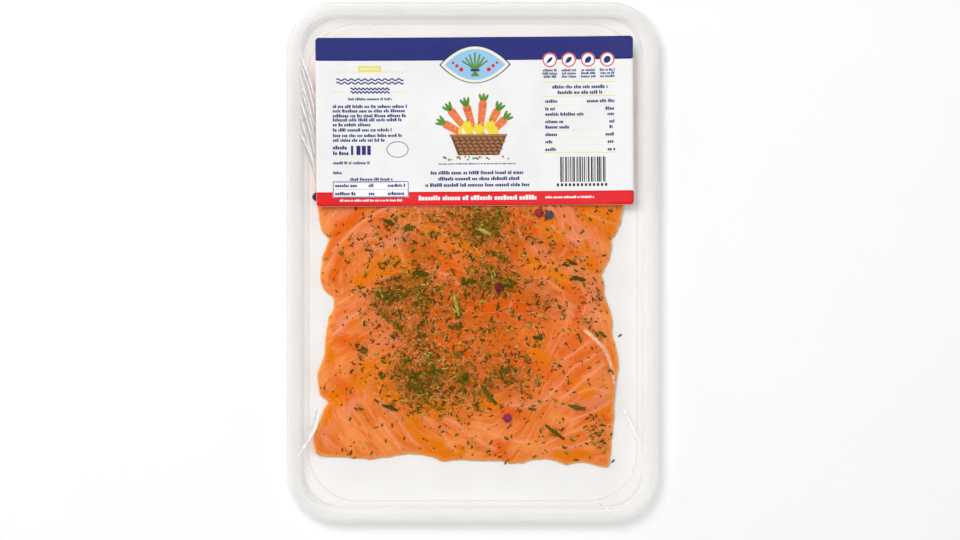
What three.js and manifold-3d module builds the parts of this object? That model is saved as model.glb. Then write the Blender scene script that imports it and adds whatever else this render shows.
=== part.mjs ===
// Sliced smoked salmon in its sealed retail pack: a clear thermoformed tray, five thin slices laid
// like shingles with chopped chives and pink peppercorns on them, a clear film sealed to the tray's
// flange and drawn down over the fish, and a paper label on the film.
// Millimetres, +Z up. The origin is the centre of the tray's base, +Y points to the label's end.
import * as THREE from "three";
import { mergeVertices } from "three/addons/utils/BufferGeometryUtils.js";
import Module from "manifold-3d";

const wasm = await Module();
wasm.setup();

// Driving dimensions of the pack
const WIDTH = 200;
const LENGTH = 280;
const OUTER_RADIUS = 27;
const FLANGE_Z = 12.5;
const TRAY_T = 0.6;
const SHEET_GAP = 0.3; // left between pieces that lie on each other
const RING_POINTS_PER_CORNER = 8;

// Film
const FILM_T = 0.25;
const FILM_EDGE_INSET = 3.6;
const FILM_SAG_Z = 3.1; // height that the free film sinks towards, far from the flange
const FILM_SAG_REACH = 6.5; // how quickly it sinks
const FILM_PASSES = 2; // rounds of evening out
const LABEL_PASSES = 12; // more of them under the stiffer label

// Label
const LABEL_WIDTH = 170.5;
const LABEL_LENGTH = 90.6;
const LABEL_CENTRE = [1, 75.7];
const LABEL_TURN = THREE.MathUtils.degToRad(0.4);
const LABEL_RADIUS = 1.8;
const LABEL_T = 0.25;

// Fish and toppings
const SLICE_T = 2.75;
const SLICE_EDGE_SHARE = 0.45; // how thin a slice is at its rim
const SLICE_EDGE_REACH = 10;
const SLICE_UNEVEN = 0.22;
const SLICE_PASSES = 2;
const OUTLINE_STEP = 6;
const CELL = 11; // grid step of every thin sheet away from the pack's rim
const CHIVE_COUNT = 42;
const CHIVE_SIDES = 5;
const CHIVE_FLATNESS = 0.7;
const CHIVE_SPACING = 6;
const CLUMP_LENGTH = 5;
const CLUMP_WIDTH = 4;
const TOPPING_CLEARANCE = 0.8; // from a topping's end to the nearest edge of a slice
const PEPPER_RADIUS = 2.4;
const PEPPER_SUNK = 1.0;
const CROSSING_STEPS = 6; // places tested along each side of an outline
const PRISM_BOTTOM = -5;
const PRISM_HEIGHT = 40;

// The tray's upper face from the lip to the floor: distance in from the pack's edge, corner radius
// there, height. The corner radius jumps at the inner edge of the flange, which is wider at the corners.
const TRAY_PROFILE = [
  { inset: 0.0, radius: OUTER_RADIUS, z: FLANGE_Z - 3.8 },
  { inset: 0.1, radius: OUTER_RADIUS - 0.1, z: FLANGE_Z - 2.2 },
  { inset: 0.6, radius: OUTER_RADIUS - 0.6, z: FLANGE_Z - 1.1 },
  { inset: 1.5, radius: OUTER_RADIUS - 1.5, z: FLANGE_Z - 0.3 },
  { inset: 2.7, radius: OUTER_RADIUS - 2.7, z: FLANGE_Z },
  { inset: 8.4, radius: 16.5, z: FLANGE_Z },
  { inset: 8.8, radius: 16.8, z: FLANGE_Z - 0.45 },
  { inset: 10.3, radius: 27.0, z: FLANGE_Z - 0.45 },
  { inset: 10.8, radius: 26.6, z: FLANGE_Z - 1.0 },
  { inset: 12.8, radius: 25.0, z: 2.6 },
  { inset: 13.5, radius: 24.4, z: 1.3 },
  { inset: 14.7, radius: 23.4, z: TRAY_T + 0.15 },
  { inset: 16.2, radius: 22.0, z: TRAY_T },
];

// Rings of the sheets' grid near the rim: distance in from the pack's edge, corner radius there
const GRID_RINGS = [
  { inset: FILM_EDGE_INSET, radius: 23.4 },
  { inset: 7.0, radius: 21.5 },
  { inset: 10.0, radius: 26.6 },
  { inset: 13.0, radius: 25.0 },
  { inset: 17.0, radius: 22.0 },
  { inset: 22.5, radius: 18.0 },
];
const FLANGE_INNER_INSET = 10;
const SLICE_RING = 3; // the fish stays inside this ring, at the foot of the tray's wall

// Outlines of the slices from the label's end down, seen from above, each laid over the one before.
// The points run clockwise from the upper left; a curve joins them.
const SLICE_OUTLINES = [
  [
    [-79, 115], [-50, 117.5], [-10, 115], [35, 118], [72, 114], [81, 104], [82, 92], [79, 80],
    [70, 68], [30, 66], [-20, 64], [-66, 66], [-83, 72], [-86.6, 82], [-86.8, 100],
  ],
  [
    [-86, 79], [-78, 87], [-45, 90], [0, 86], [45, 88], [74, 82], [83, 70], [84, 52], [81.8, 38],
    [81.4, 30], [81, 24.6], [78.9, 18.9], [75, 12], [60, 8], [20, 6.5], [-30, 8], [-66, 8],
    [-77, 11], [-81.4, 17.5], [-83, 25], [-84.6, 33], [-86.6, 44], [-86.4, 62],
  ],
  [
    [-77.3, 13.2], [-71, 15.5], [-64.5, 20], [-58, 25], [-48, 30], [-25, 34], [10, 33], [40, 35.5],
    [54, 31], [60.5, 24.5], [68, 18.5], [74.8, 15], [75.2, 9], [74.4, 3], [71.8, -3.5], [69.6, -7.2],
    [66, -14], [48, -20], [10, -22], [-35, -21], [-66, -22.5], [-76, -19.8], [-81.2, -13],
    [-82.1, -8], [-81.2, 4], [-78.4, 11],
  ],
  [
    [-75.6, -19.4], [-67, -17], [-60, -13], [-52, -8], [-40, -3], [-12, -1], [20, 0.5], [48, 1],
    [58, -0.5], [65, -4], [70, -7], [70.5, -13], [71.2, -19], [73.8, -24.5], [74.9, -32.5],
    [75.5, -40], [77.6, -45.5], [78.5, -55], [77.4, -65], [70, -78], [40, -84], [0, -86],
    [-40, -86], [-70, -82], [-79.4, -75.2], [-83.2, -71.5], [-83.9, -65], [-83.6, -58.5],
    [-81, -54.5], [-80, -49], [-79.9, -40], [-79, -33.5], [-75.6, -26.5],
  ],
  [
    [-78.8, -76.2], [-73, -73], [-66.9, -69.3], [-60, -64.5], [-54.5, -58.5], [-46, -51],
    [-20, -43], [10, -36], [42, -30.5], [58, -31.5], [64.5, -38], [71, -47], [75.3, -55.5],
    [77, -64], [76.4, -69], [75.9, -81], [75.6, -92.6], [74.4, -102.6], [73.4, -111.4],
    [67.5, -110], [59.5, -108], [50.2, -109.4], [44.5, -106.6], [30.8, -107], [19.3, -109],
    [14, -106.8], [3.4, -107], [-8.2, -106.4], [-13.9, -108.2], [-22.5, -105.6], [-28.3, -103.6],
    [-46.9, -105], [-59.9, -105.8], [-72.8, -104.8], [-83.6, -105], [-85.5, -99.8],
    [-85.3, -92.6], [-81.6, -84],
  ],
];

// Larger chives that show from a step away: middle, direction in degrees, length, width
const LARGE_CHIVES = [
  [44.2, -91.5, 37, 13, 2.2], [56, -78, 13, 9.4, 2.4], [8.5, -71.3, 51, 13, 2.4],
  [-44.5, -78.4, 20, 9, 2.2], [-9, -23, 76, 12.4, 2.6], [-2.5, -10.2, -30, 7, 3.2],
  [6.4, 16.6, 28, 7.8, 3], [-45.4, -17.6, 84, 7.4, 2.2], [52, 0.2, -14, 7, 2.4],
  [56.4, -8.6, 4, 7, 3], [69.4, -39.6, 58, 5.6, 2.6], [35, -40.4, 30, 5.2, 3],
  [-45, 21.8, 55, 5.6, 3], [-35, 18.2, 70, 5.6, 3.2], [-9.4, -35, 12, 6.2, 3],
  [17.2, -57.6, 8, 6.6, 3.2], [-28, -6, -20, 6.4, 4], [-32, -66.8, 24, 6.6, 4.2],
];

// Round clumps of chives, as short crossed pieces: middle
const CHIVE_CLUMPS = [
  [-59.9, -46.3], [-31.6, -61.4], [21, -11.5], [-20, -60], [-4, -62.5],
];

// Peppercorns: middle
const PEPPERCORNS = [
  [18.6, -83.8], [14.2, -13.6], [35.6, 26.6], [41.2, 25.6], [-81.4, 36.4],
];

// Where chopped chives lie densest: middle, spread, weight
const CHIVE_CLOUDS = [
  { x: -30, y: -20, spread: 24, weight: 1 },
  { x: -32, y: -64, spread: 18, weight: 1.1 },
  { x: -2, y: -56, spread: 22, weight: 1 },
  { x: 8, y: 12, spread: 24, weight: 0.9 },
  { x: 40, y: -20, spread: 32, weight: 0.45 },
];

// The same run of numbers between 0 and 1 each time, from one seed
function seeded(seed) {
  let state = seed >>> 0;
  return () => {
    state = (state + 0x6d2b79f5) >>> 0;
    let t = state;
    t = Math.imul(t ^ (t >>> 15), t | 1);
    t ^= t + Math.imul(t ^ (t >>> 7), t | 61);
    return ((t ^ (t >>> 14)) >>> 0) / 4294967296;
  };
}

// Gentle uneven relief between about -1 and 1
function relief(x, y, seed) {
  const a = Math.sin(0.071 * x + 0.043 * y + seed * 1.7);
  const b = Math.sin(-0.049 * x + 0.102 * y + seed * 2.9);
  const c = Math.sin(0.155 * x + 0.121 * y + seed * 4.1);
  return 0.4 * a + 0.35 * b + 0.25 * c;
}

// A rounded rectangle at one distance in from the pack's edge, as points with equal numbering
function roundedRing(inset, radius, z) {
  const cx = WIDTH / 2 - inset - radius;
  const cy = LENGTH / 2 - inset - radius;
  const corners = [[cx, cy], [-cx, cy], [-cx, -cy], [cx, -cy]];
  const ring = [];
  corners.forEach(([x, y], quarter) => {
    for (let k = 0; k <= RING_POINTS_PER_CORNER; k++) {
      const angle = ((quarter + k / RING_POINTS_PER_CORNER) * Math.PI) / 2;
      ring.push([x + radius * Math.cos(angle), y + radius * Math.sin(angle), z]);
    }
  });
  return ring;
}

// The profile's other face, one wall thickness to its lower or outer side. The wall stands upright
// at the lip's end and lies flat at the floor.
function offsetProfile(profile, thickness) {
  const last = profile.length - 1;
  return profile.map((point, i) => {
    const run = new THREE.Vector2(0, 1);
    if (i === last) run.set(1, 0);
    else if (i > 0) {
      const [before, after] = [profile[i - 1], profile[i + 1]];
      run.set(after.inset - before.inset, after.z - before.z).normalize();
    }
    const shift = thickness * run.y;
    return { inset: point.inset + shift, radius: point.radius - shift, z: point.z - thickness * run.x };
  });
}

// A closed mesh from rings that run from the middle of the upper face, over the rim, to the
// middle of the lower face
function loftedShell(rings) {
  const count = rings[0].length;
  const points = rings.flat();
  const faces = [];
  for (let r = 0; r + 1 < rings.length; r++) {
    for (let k = 0; k < count; k++) {
      const a = r * count + k;
      const b = r * count + ((k + 1) % count);
      faces.push([a, a + count, b], [b, a + count, b + count]);
    }
  }
  const upper = points.push([0, 0, rings[0][0][2]]) - 1;
  const lower = points.push([0, 0, rings.at(-1)[0][2]]) - 1;
  const last = (rings.length - 1) * count;
  for (let k = 0; k < count; k++) {
    faces.push([upper, k, (k + 1) % count]);
    faces.push([lower, last + ((k + 1) % count), last + k]);
  }
  return geometryOf(points, faces);
}

function geometryOf(points, faces) {
  const geometry = new THREE.BufferGeometry();
  geometry.setAttribute("position", new THREE.Float32BufferAttribute(points.flat(), 3));
  geometry.setIndex(faces.flat());
  return geometry;
}

function trayGeometry() {
  const upper = TRAY_PROFILE.map((p) => roundedRing(p.inset, p.radius, p.z));
  const lower = offsetProfile(TRAY_PROFILE, TRAY_T).map((p) => roundedRing(p.inset, p.radius, p.z));
  return loftedShell([...upper.reverse(), ...lower]);
}

// Height of the tray's upper face at a distance in from the edge
function trayHeight(inset) {
  const after = TRAY_PROFILE.findIndex((p) => p.inset > inset);
  if (after < 0) return TRAY_T;
  const a = TRAY_PROFILE[after - 1];
  const b = TRAY_PROFILE[after];
  return THREE.MathUtils.mapLinear(inset, a.inset, b.inset, a.z, b.z);
}

// Positions of the grid's lines along one side of the pack
function gridLines(size) {
  const rim = GRID_RINGS.map((ring) => size / 2 - ring.inset);
  const inner = rim.at(-1);
  const cells = Math.round((2 * inner) / CELL);
  const middle = Array.from({ length: cells - 1 }, (_, k) => inner - ((k + 1) * 2 * inner) / cells);
  return [...rim, ...middle, ...rim.toReversed().map((v) => -v)].reverse();
}

const LINES_X = gridLines(WIDTH);
const LINES_Y = gridLines(LENGTH);

function ringOf(i, j) {
  return Math.min(i, j, LINES_X.length - 1 - i, LINES_Y.length - 1 - j);
}

// How far in from the pack's edge a grid point lies
function insetOf(i, j) {
  return Math.min(WIDTH / 2 - Math.abs(LINES_X[i]), LENGTH / 2 - Math.abs(LINES_Y[j]));
}

// A grid point's place: lines near the rim bend round the pack's corners
function gridPoint(i, j) {
  const inset = insetOf(i, j);
  const last = GRID_RINGS.at(-1);
  const ring = GRID_RINGS[ringOf(i, j)];
  const radius = ring ? ring.radius : Math.max(last.radius - (inset - last.inset), 0.01);
  const cx = WIDTH / 2 - inset - radius;
  const cy = LENGTH / 2 - inset - radius;
  const dx = (Math.abs(LINES_X[i]) - cx) / radius;
  const dy = (Math.abs(LINES_Y[j]) - cy) / radius;
  if (dx <= 0 || dy <= 0) return [LINES_X[i], LINES_Y[j]];
  const angle = dx >= dy ? (dy * Math.PI) / 4 : ((2 - dx) * Math.PI) / 4;
  const x = cx + radius * Math.cos(angle);
  const y = cy + radius * Math.sin(angle);
  return [Math.sign(LINES_X[i]) * x, Math.sign(LINES_Y[j]) * y];
}

const GRID = [];
for (let j = 0; j < LINES_Y.length; j++) {
  for (let i = 0; i < LINES_X.length; i++) {
    const [x, y] = gridPoint(i, j);
    GRID.push({ i, j, x, y, inset: insetOf(i, j), ring: ringOf(i, j) });
  }
}

const at = (i, j) => j * LINES_X.length + i;

// The two triangles of each grid cell, which every sheet shares, so that one sheet's height above
// another holds between the grid's points too
function cellTriangles(ring) {
  const triangles = [];
  for (let j = ring; j + 1 < LINES_Y.length - ring; j++) {
    for (let i = ring; i + 1 < LINES_X.length - ring; i++) {
      const a = at(i, j);
      const b = at(i + 1, j);
      const c = at(i + 1, j + 1);
      const d = at(i, j + 1);
      const rising = (i < LINES_X.length / 2) === (j < LINES_Y.length / 2);
      if (rising) triangles.push([a, b, c], [a, c, d]);
      else triangles.push([a, b, d], [b, c, d]);
    }
  }
  return triangles;
}

// A closed thin sheet between two height fields on the grid, from one ring inwards
function sheetGeometry(bottom, top, ring) {
  const points = [top, bottom].flatMap((field) => GRID.map((g, k) => [g.x, g.y, field[k]]));
  const faces = [];
  for (const [a, b, c] of cellTriangles(ring)) {
    faces.push([a, b, c], [c + GRID.length, b + GRID.length, a + GRID.length]);
  }
  const right = LINES_X.length - 1 - ring;
  const back = LINES_Y.length - 1 - ring;
  const rim = [];
  for (let i = ring; i < right; i++) rim.push(at(i, ring));
  for (let j = ring; j < back; j++) rim.push(at(right, j));
  for (let i = right; i > ring; i--) rim.push(at(i, back));
  for (let j = back; j > ring; j--) rim.push(at(ring, j));
  rim.forEach((a, k) => {
    const b = rim[(k + 1) % rim.length];
    faces.push([a, a + GRID.length, b], [b, a + GRID.length, b + GRID.length]);
  });
  return geometryOf(points, faces);
}

const raise = (field, step) => field.map((z) => z + step);

// A sheet settled over what lies under it: evened out, but never below its support
function settled(support, passes, from = () => true) {
  let field = [...support];
  for (let pass = 0; pass < passes; pass++) {
    field = field.map((z, k) => {
      const { i, j, ring } = GRID[k];
      if (ring <= SLICE_RING || !from(GRID[k])) return z;
      const beside = [at(i - 1, j), at(i + 1, j), at(i, j - 1), at(i, j + 1)];
      const around = beside.reduce((sum, n) => sum + field[n], 0) / beside.length;
      return Math.max(support[k], (z + around) / 2);
    });
  }
  return field;
}

// An outline as a closed curve with slightly ragged edges
function raggedOutline(points, seed) {
  const curve = new THREE.CatmullRomCurve3(
    points.map(([x, y]) => new THREE.Vector3(x, y, 0)),
    true,
    "centripetal",
  );
  const random = seeded(seed);
  const count = Math.round(curve.getLength() / OUTLINE_STEP);
  return curve.getSpacedPoints(count).slice(0, count).map((p) => {
    return new THREE.Vector2(p.x + 0.5 * (random() - 0.5), p.y + 0.8 * (random() - 0.5));
  });
}

// Distance from a place to an outline, more than zero inside it
function depthInside(outline, x, y) {
  let nearest = Infinity;
  let inside = false;
  outline.forEach((a, k) => {
    const b = outline[(k + 1) % outline.length];
    const share = ((x - a.x) * (b.x - a.x) + (y - a.y) * (b.y - a.y)) / a.distanceToSquared(b);
    const foot = a.clone().lerp(b, THREE.MathUtils.clamp(share, 0, 1));
    nearest = Math.min(nearest, Math.hypot(x - foot.x, y - foot.y));
    if (a.y > y !== b.y > y && x < ((b.x - a.x) * (y - a.y)) / (b.y - a.y) + a.x) inside = !inside;
  });
  return inside ? nearest : -nearest;
}

// The grid's triangle that holds a place
function triangleAt(x, y, ring = 0) {
  return cellTriangles(ring).find(([a, b, c]) => {
    const [p, q, r] = [GRID[a], GRID[b], GRID[c]];
    const side = (m, n) => (n.x - m.x) * (y - m.y) - (n.y - m.y) * (x - m.x) > -1e-9;
    return side(p, q) && side(q, r) && side(r, p);
  });
}

// Height of a field at any place, on the same triangles as the sheets
function heightAt(field, x, y) {
  const [a, b, c] = triangleAt(x, y);
  const [p, q, r] = [GRID[a], GRID[b], GRID[c]];
  const area = (q.x - p.x) * (r.y - p.y) - (r.x - p.x) * (q.y - p.y);
  const u = ((x - p.x) * (r.y - p.y) - (r.x - p.x) * (y - p.y)) / area;
  const v = ((q.x - p.x) * (y - p.y) - (x - p.x) * (q.y - p.y)) / area;
  return field[a] + u * (field[b] - field[a]) + v * (field[c] - field[a]);
}

// Marks the grid points of every triangle that an outline covers or crosses
function coveredPoints(outline) {
  const covered = GRID.map(() => false);
  const mark = (triangle) => triangle && triangle.forEach((k) => (covered[k] = true));
  for (const triangle of cellTriangles(SLICE_RING)) {
    if (triangle.some((k) => depthInside(outline, GRID[k].x, GRID[k].y) > 0)) mark(triangle);
  }
  outline.forEach((a, k) => {
    const b = outline[(k + 1) % outline.length];
    for (let step = 0; step < CROSSING_STEPS; step++) {
      const p = a.clone().lerp(b, step / CROSSING_STEPS);
      mark(triangleAt(p.x, p.y, SLICE_RING));
    }
  });
  return covered;
}

// Height fields of the slices, laid one after another from the label's end
function laidSlices() {
  const slices = [];
  SLICE_OUTLINES.forEach((points, index) => {
    const outline = raggedOutline(points, 11 + index);
    const support = GRID.map((g) => {
      const below = slices.map((s) => (s.covers[at(g.i, g.j)] ? s.top[at(g.i, g.j)] : 0));
      return Math.max(trayHeight(g.inset), ...below) + SHEET_GAP;
    });
    const bottom = settled(support, SLICE_PASSES);
    const depths = GRID.map((g) => depthInside(outline, g.x, g.y));
    const top = bottom.map((z, k) => {
      const body = THREE.MathUtils.smoothstep(depths[k], 0, SLICE_EDGE_REACH);
      const uneven = 1 + SLICE_UNEVEN * relief(GRID[k].x, GRID[k].y, index);
      return z + SLICE_T * uneven * (SLICE_EDGE_SHARE + (1 - SLICE_EDGE_SHARE) * body);
    });
    slices.push({ outline, bottom, top, covers: coveredPoints(outline) });
  });
  return slices;
}

// The slice that shows at a place, if the place is at least that clear of every slice's edge
function shownSlice(slices, x, y, clear) {
  for (let k = slices.length - 1; k >= 0; k--) {
    const depth = depthInside(slices[k].outline, x, y);
    if (depth > clear) return k;
    if (depth > -clear) return -1;
  }
  return -1;
}

function solidOf(geometry) {
  const bare = geometry.clone();
  bare.deleteAttribute("normal");
  bare.deleteAttribute("uv");
  const merged = mergeVertices(bare, 1e-4);
  return new wasm.Manifold(
    new wasm.Mesh({
      numProp: 3,
      vertProperties: merged.attributes.position.array,
      triVerts: new Uint32Array(merged.index.array),
    }),
  );
}

function geometryFrom(solid) {
  const mesh = solid.getMesh();
  const geometry = new THREE.BufferGeometry();
  geometry.setAttribute("position", new THREE.BufferAttribute(mesh.vertProperties, 3));
  geometry.setIndex(new THREE.BufferAttribute(mesh.triVerts, 1));
  return geometry;
}

function prismSolid(shape) {
  const prism = new THREE.ExtrudeGeometry(shape, {
    depth: PRISM_HEIGHT,
    bevelEnabled: false,
    curveSegments: 3,
  });
  return solidOf(prism.translate(0, 0, PRISM_BOTTOM));
}

// A short length of chive lying on a slice, a little sunk into it
function chiveSolid(slice, [x, y, degrees, length, width]) {
  const turn = THREE.MathUtils.degToRad(-degrees);
  const reach = 0.4 * length;
  const ends = [-1, 1].map((side) => {
    const px = x + side * reach * Math.cos(turn);
    const py = y + side * reach * Math.sin(turn);
    return new THREE.Vector3(px, py, heightAt(slice.top, px, py));
  });
  const along = ends[1].clone().sub(ends[0]).normalize();
  const stick = new THREE.CylinderGeometry(width / 2, width / 2, length, CHIVE_SIDES, 1);
  stick.scale(1, 1, CHIVE_FLATNESS);
  stick.applyQuaternion(new THREE.Quaternion().setFromUnitVectors(new THREE.Vector3(0, 1, 0), along));
  const middle = ends[0].add(ends[1]).multiplyScalar(0.5);
  return solidOf(stick.translate(middle.x, middle.y, middle.z));
}

function pepperSolid(slice, [x, y]) {
  const ball = new THREE.IcosahedronGeometry(PEPPER_RADIUS, 1);
  return solidOf(ball.translate(x, y, heightAt(slice.top, x, y) + PEPPER_RADIUS - PEPPER_SUNK));
}

// How likely chopped chives lie at a place
function chiveWeight(x, y) {
  const weights = CHIVE_CLOUDS.map((cloud) => {
    const away = Math.hypot(x - cloud.x, y - cloud.y) / cloud.spread;
    return cloud.weight * Math.exp((-away * away) / 2);
  });
  return Math.max(0.05, ...weights);
}

// Every topping that the slices carry: the named ones first, then a seeded spread of short chives
function toppings(slices) {
  const placed = [];
  const add = (kind, item, reach) => {
    const index = shownSlice(slices, item[0], item[1], reach + TOPPING_CLEARANCE);
    if (index >= 0) placed.push({ kind, item, index });
  };
  PEPPERCORNS.forEach((item) => add("pepper", item, PEPPER_RADIUS));
  LARGE_CHIVES.forEach((item) => add("chive", item, item[3] / 2));
  CHIVE_CLUMPS.forEach(([x, y]) => {
    add("chive", [x, y, 20, CLUMP_LENGTH, CLUMP_WIDTH], CLUMP_LENGTH / 2);
    add("chive", [x + 0.6, y - 0.4, 80, CLUMP_LENGTH, CLUMP_WIDTH], CLUMP_LENGTH / 2);
  });
  const random = seeded(5);
  let left = CHIVE_COUNT;
  while (left > 0) {
    const x = 160 * (random() - 0.5);
    const y = 140 * (random() - 0.5) - 35;
    const item = [x, y, 180 * random(), 2.6 + 2.4 * random(), 1.4 + 0.8 * random()];
    const wanted = random() < chiveWeight(x, y);
    const apart = placed.every((p) => Math.hypot(p.item[0] - x, p.item[1] - y) > CHIVE_SPACING);
    if (!wanted || !apart) continue;
    add("chive", item, item[3] / 2);
    left -= 1;
  }
  return placed;
}

function sliceGeometry(slices, index, placed) {
  const slice = slices[index];
  const sheet = solidOf(sheetGeometry(slice.bottom, slice.top, SLICE_RING));
  let solid = sheet.intersect(prismSolid(new THREE.Shape(slice.outline.toReversed())));
  for (const { kind, item } of placed.filter((p) => p.index === index)) {
    solid = solid.add(kind === "pepper" ? pepperSolid(slice, item) : chiveSolid(slice, item));
  }
  return geometryFrom(solid);
}

const LABEL_SHAPE = (() => {
  const w = LABEL_WIDTH / 2 - LABEL_RADIUS;
  const h = LABEL_LENGTH / 2 - LABEL_RADIUS;
  const shape = new THREE.Shape();
  const corners = [[w, -h], [w, h], [-w, h], [-w, -h]];
  corners.forEach(([x, y], k) => {
    shape.absarc(x, y, LABEL_RADIUS, ((k - 1) * Math.PI) / 2, (k * Math.PI) / 2, false);
  });
  return shape;
})();

function underLabel({ x, y }) {
  const dx = Math.abs(x - LABEL_CENTRE[0]);
  const dy = Math.abs(y - LABEL_CENTRE[1]);
  return dx < LABEL_WIDTH / 2 && dy < LABEL_LENGTH / 2;
}

// Places spread over the ground that a topping takes up, and a little past it
function footprint([x, y, degrees = 0, length = 2 * PEPPER_RADIUS, width = 2 * PEPPER_RADIUS]) {
  const turn = THREE.MathUtils.degToRad(-degrees);
  const [dx, dy] = [Math.cos(turn), Math.sin(turn)];
  return [-0.55, -0.25, 0, 0.25, 0.55].flatMap((share) =>
    [-0.6, 0.6].map((side) => [
      x + share * length * dx - side * width * dy,
      y + share * length * dy + side * width * dx,
    ]),
  );
}

// The film's lower face: flat on the flange, sinking past it, and resting on the fish and toppings
function filmBottom(slices, placed) {
  const sag = FLANGE_Z - FILM_SAG_Z;
  const support = GRID.map((g, k) => {
    const under = slices.map((s) => (s.covers[k] ? s.top[k] : 0));
    const beyond = Math.max(g.inset - FLANGE_INNER_INSET, 0);
    return Math.max(FILM_SAG_Z + sag * Math.exp(-beyond / FILM_SAG_REACH), ...under);
  });
  for (const { kind, item, index } of placed) {
    const { top } = slices[index];
    const rise = kind === "pepper" ? 2 * PEPPER_RADIUS - PEPPER_SUNK : 0.4 * item[4];
    for (const [x, y] of footprint(item)) {
      const crown = Math.max(heightAt(top, item[0], item[1]), heightAt(top, x, y)) + rise;
      for (const k of triangleAt(x, y)) support[k] = Math.max(support[k], crown);
    }
  }
  const resting = raise(support, SHEET_GAP);
  return settled(settled(resting, FILM_PASSES), LABEL_PASSES, underLabel);
}

const CLEAR = { color: 0xf0f0ec, roughness: 0.15, metalness: 0, transparent: true, opacity: 0.35 };
const COLOURS = {
  tray: new THREE.MeshStandardMaterial(CLEAR),
  film: new THREE.MeshStandardMaterial(CLEAR),
  label: new THREE.MeshStandardMaterial({ color: 0xf3f3f5, roughness: 0.5, metalness: 0 }),
  fish: new THREE.MeshStandardMaterial({ color: 0xe87a38, roughness: 0.45, metalness: 0 }),
};

const pack = new THREE.Group();

function addPiece(name, geometry, material) {
  const mesh = new THREE.Mesh(geometry, material);
  mesh.name = name;
  pack.add(mesh);
}

const slices = laidSlices();
const placed = toppings(slices);
const filmLow = filmBottom(slices, placed);
const filmHigh = raise(filmLow, FILM_T);
const labelLow = raise(filmHigh, SHEET_GAP);
const labelSheet = solidOf(sheetGeometry(labelLow, raise(labelLow, LABEL_T), 0));
const labelPrism = prismSolid(LABEL_SHAPE)
  .rotate([0, 0, THREE.MathUtils.radToDeg(LABEL_TURN)])
  .translate([LABEL_CENTRE[0], LABEL_CENTRE[1], 0]);

addPiece("tray", trayGeometry(), COLOURS.tray);
slices.forEach((_, index) => {
  addPiece("slice_" + (index + 1), sliceGeometry(slices, index, placed), COLOURS.fish);
});
addPiece("film", sheetGeometry(filmLow, filmHigh, 0), COLOURS.film);
addPiece("label", geometryFrom(labelSheet.intersect(labelPrism)), COLOURS.label);

export default pack;
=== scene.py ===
"""Looks of a sealed tray of sliced smoked salmon: clear tray and film, label, fish, chives, pepper.

Lengths are millimetres in the pack's own frame, seen from above: x to the right, y to the label's
end, z up. Meshes are scaled to metres when they are made. Colours are 8-bit screen colours where
they go through srgb, and linear ones elsewhere.
"""

import math

import bpy
import numpy as np
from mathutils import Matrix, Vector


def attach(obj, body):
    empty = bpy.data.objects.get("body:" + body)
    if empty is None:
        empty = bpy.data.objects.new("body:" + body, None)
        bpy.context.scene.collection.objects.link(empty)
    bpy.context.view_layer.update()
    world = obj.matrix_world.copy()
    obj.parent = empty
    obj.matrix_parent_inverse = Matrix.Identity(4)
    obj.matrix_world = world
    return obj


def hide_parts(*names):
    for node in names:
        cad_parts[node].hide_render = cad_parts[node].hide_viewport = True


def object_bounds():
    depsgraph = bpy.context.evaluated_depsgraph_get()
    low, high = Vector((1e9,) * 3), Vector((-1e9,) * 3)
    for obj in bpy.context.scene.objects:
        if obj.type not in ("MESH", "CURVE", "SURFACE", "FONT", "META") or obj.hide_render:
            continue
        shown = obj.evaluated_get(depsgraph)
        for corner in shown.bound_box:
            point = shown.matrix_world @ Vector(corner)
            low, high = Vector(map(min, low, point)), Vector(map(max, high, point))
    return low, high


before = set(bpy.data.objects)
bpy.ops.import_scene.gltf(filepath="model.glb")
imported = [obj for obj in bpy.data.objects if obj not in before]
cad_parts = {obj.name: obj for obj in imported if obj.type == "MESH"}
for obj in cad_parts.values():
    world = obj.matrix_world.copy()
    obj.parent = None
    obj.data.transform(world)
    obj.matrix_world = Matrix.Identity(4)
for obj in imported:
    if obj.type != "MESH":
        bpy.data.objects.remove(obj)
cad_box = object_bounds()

MM = 0.001

# The photograph: pack's centre in it, and how long a pixel is on the pack
PHOTO_WIDTH = 960
PHOTO_HEIGHT = 540
PACK_CENTRE_PX = (472.75, 262.25)
MM_PER_PX = 0.536
CAMERA_DISTANCE = 1500

# The tray, as in its source. Its profile: inset from the edge, corner radius and height. Its inside
# starts at the flange's inner edge
WIDTH = 200
LENGTH = 280
OUTER_RADIUS = 27
FLANGE_Z = 12.5
TRAY_T = 0.6
FLANGE_INNER_INSET = 10.3
FLANGE_INNER_RADIUS = 27
TRAY_PROFILE = [
    (0.0, OUTER_RADIUS, FLANGE_Z - 3.8),
    (0.1, OUTER_RADIUS - 0.1, FLANGE_Z - 2.2),
    (0.6, OUTER_RADIUS - 0.6, FLANGE_Z - 1.1),
    (1.5, OUTER_RADIUS - 1.5, FLANGE_Z - 0.3),
    (2.7, OUTER_RADIUS - 2.7, FLANGE_Z),
    (8.4, 16.5, FLANGE_Z),
    (8.8, 16.8, FLANGE_Z - 0.45),
    (FLANGE_INNER_INSET, FLANGE_INNER_RADIUS, FLANGE_Z - 0.45),
    (10.8, 26.6, FLANGE_Z - 1.0),
    (12.8, 25.0, 2.6),
    (13.5, 24.4, 1.3),
    (14.7, 23.4, TRAY_T + 0.15),
    (16.2, 22.0, TRAY_T),
]
INNER_PROFILE_START = 7

# Along the inset: thin grey lines of painted shade where the plastic bends, with their reach, and how
# milky it is
BEND_SHADE_LINES = [(9.1, 0.35), (11.7, 0.5)]
MILKINESS = [(0.0, 0.9), (1.4, 0.44), (4.0, 0.43), (7.2, 0.38), (8.4, 0.02), (16.0, 0.02)]
MILK_REACH = 20.0
MILK_WHITE = (0.98, 0.98, 0.97, 1)

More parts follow.
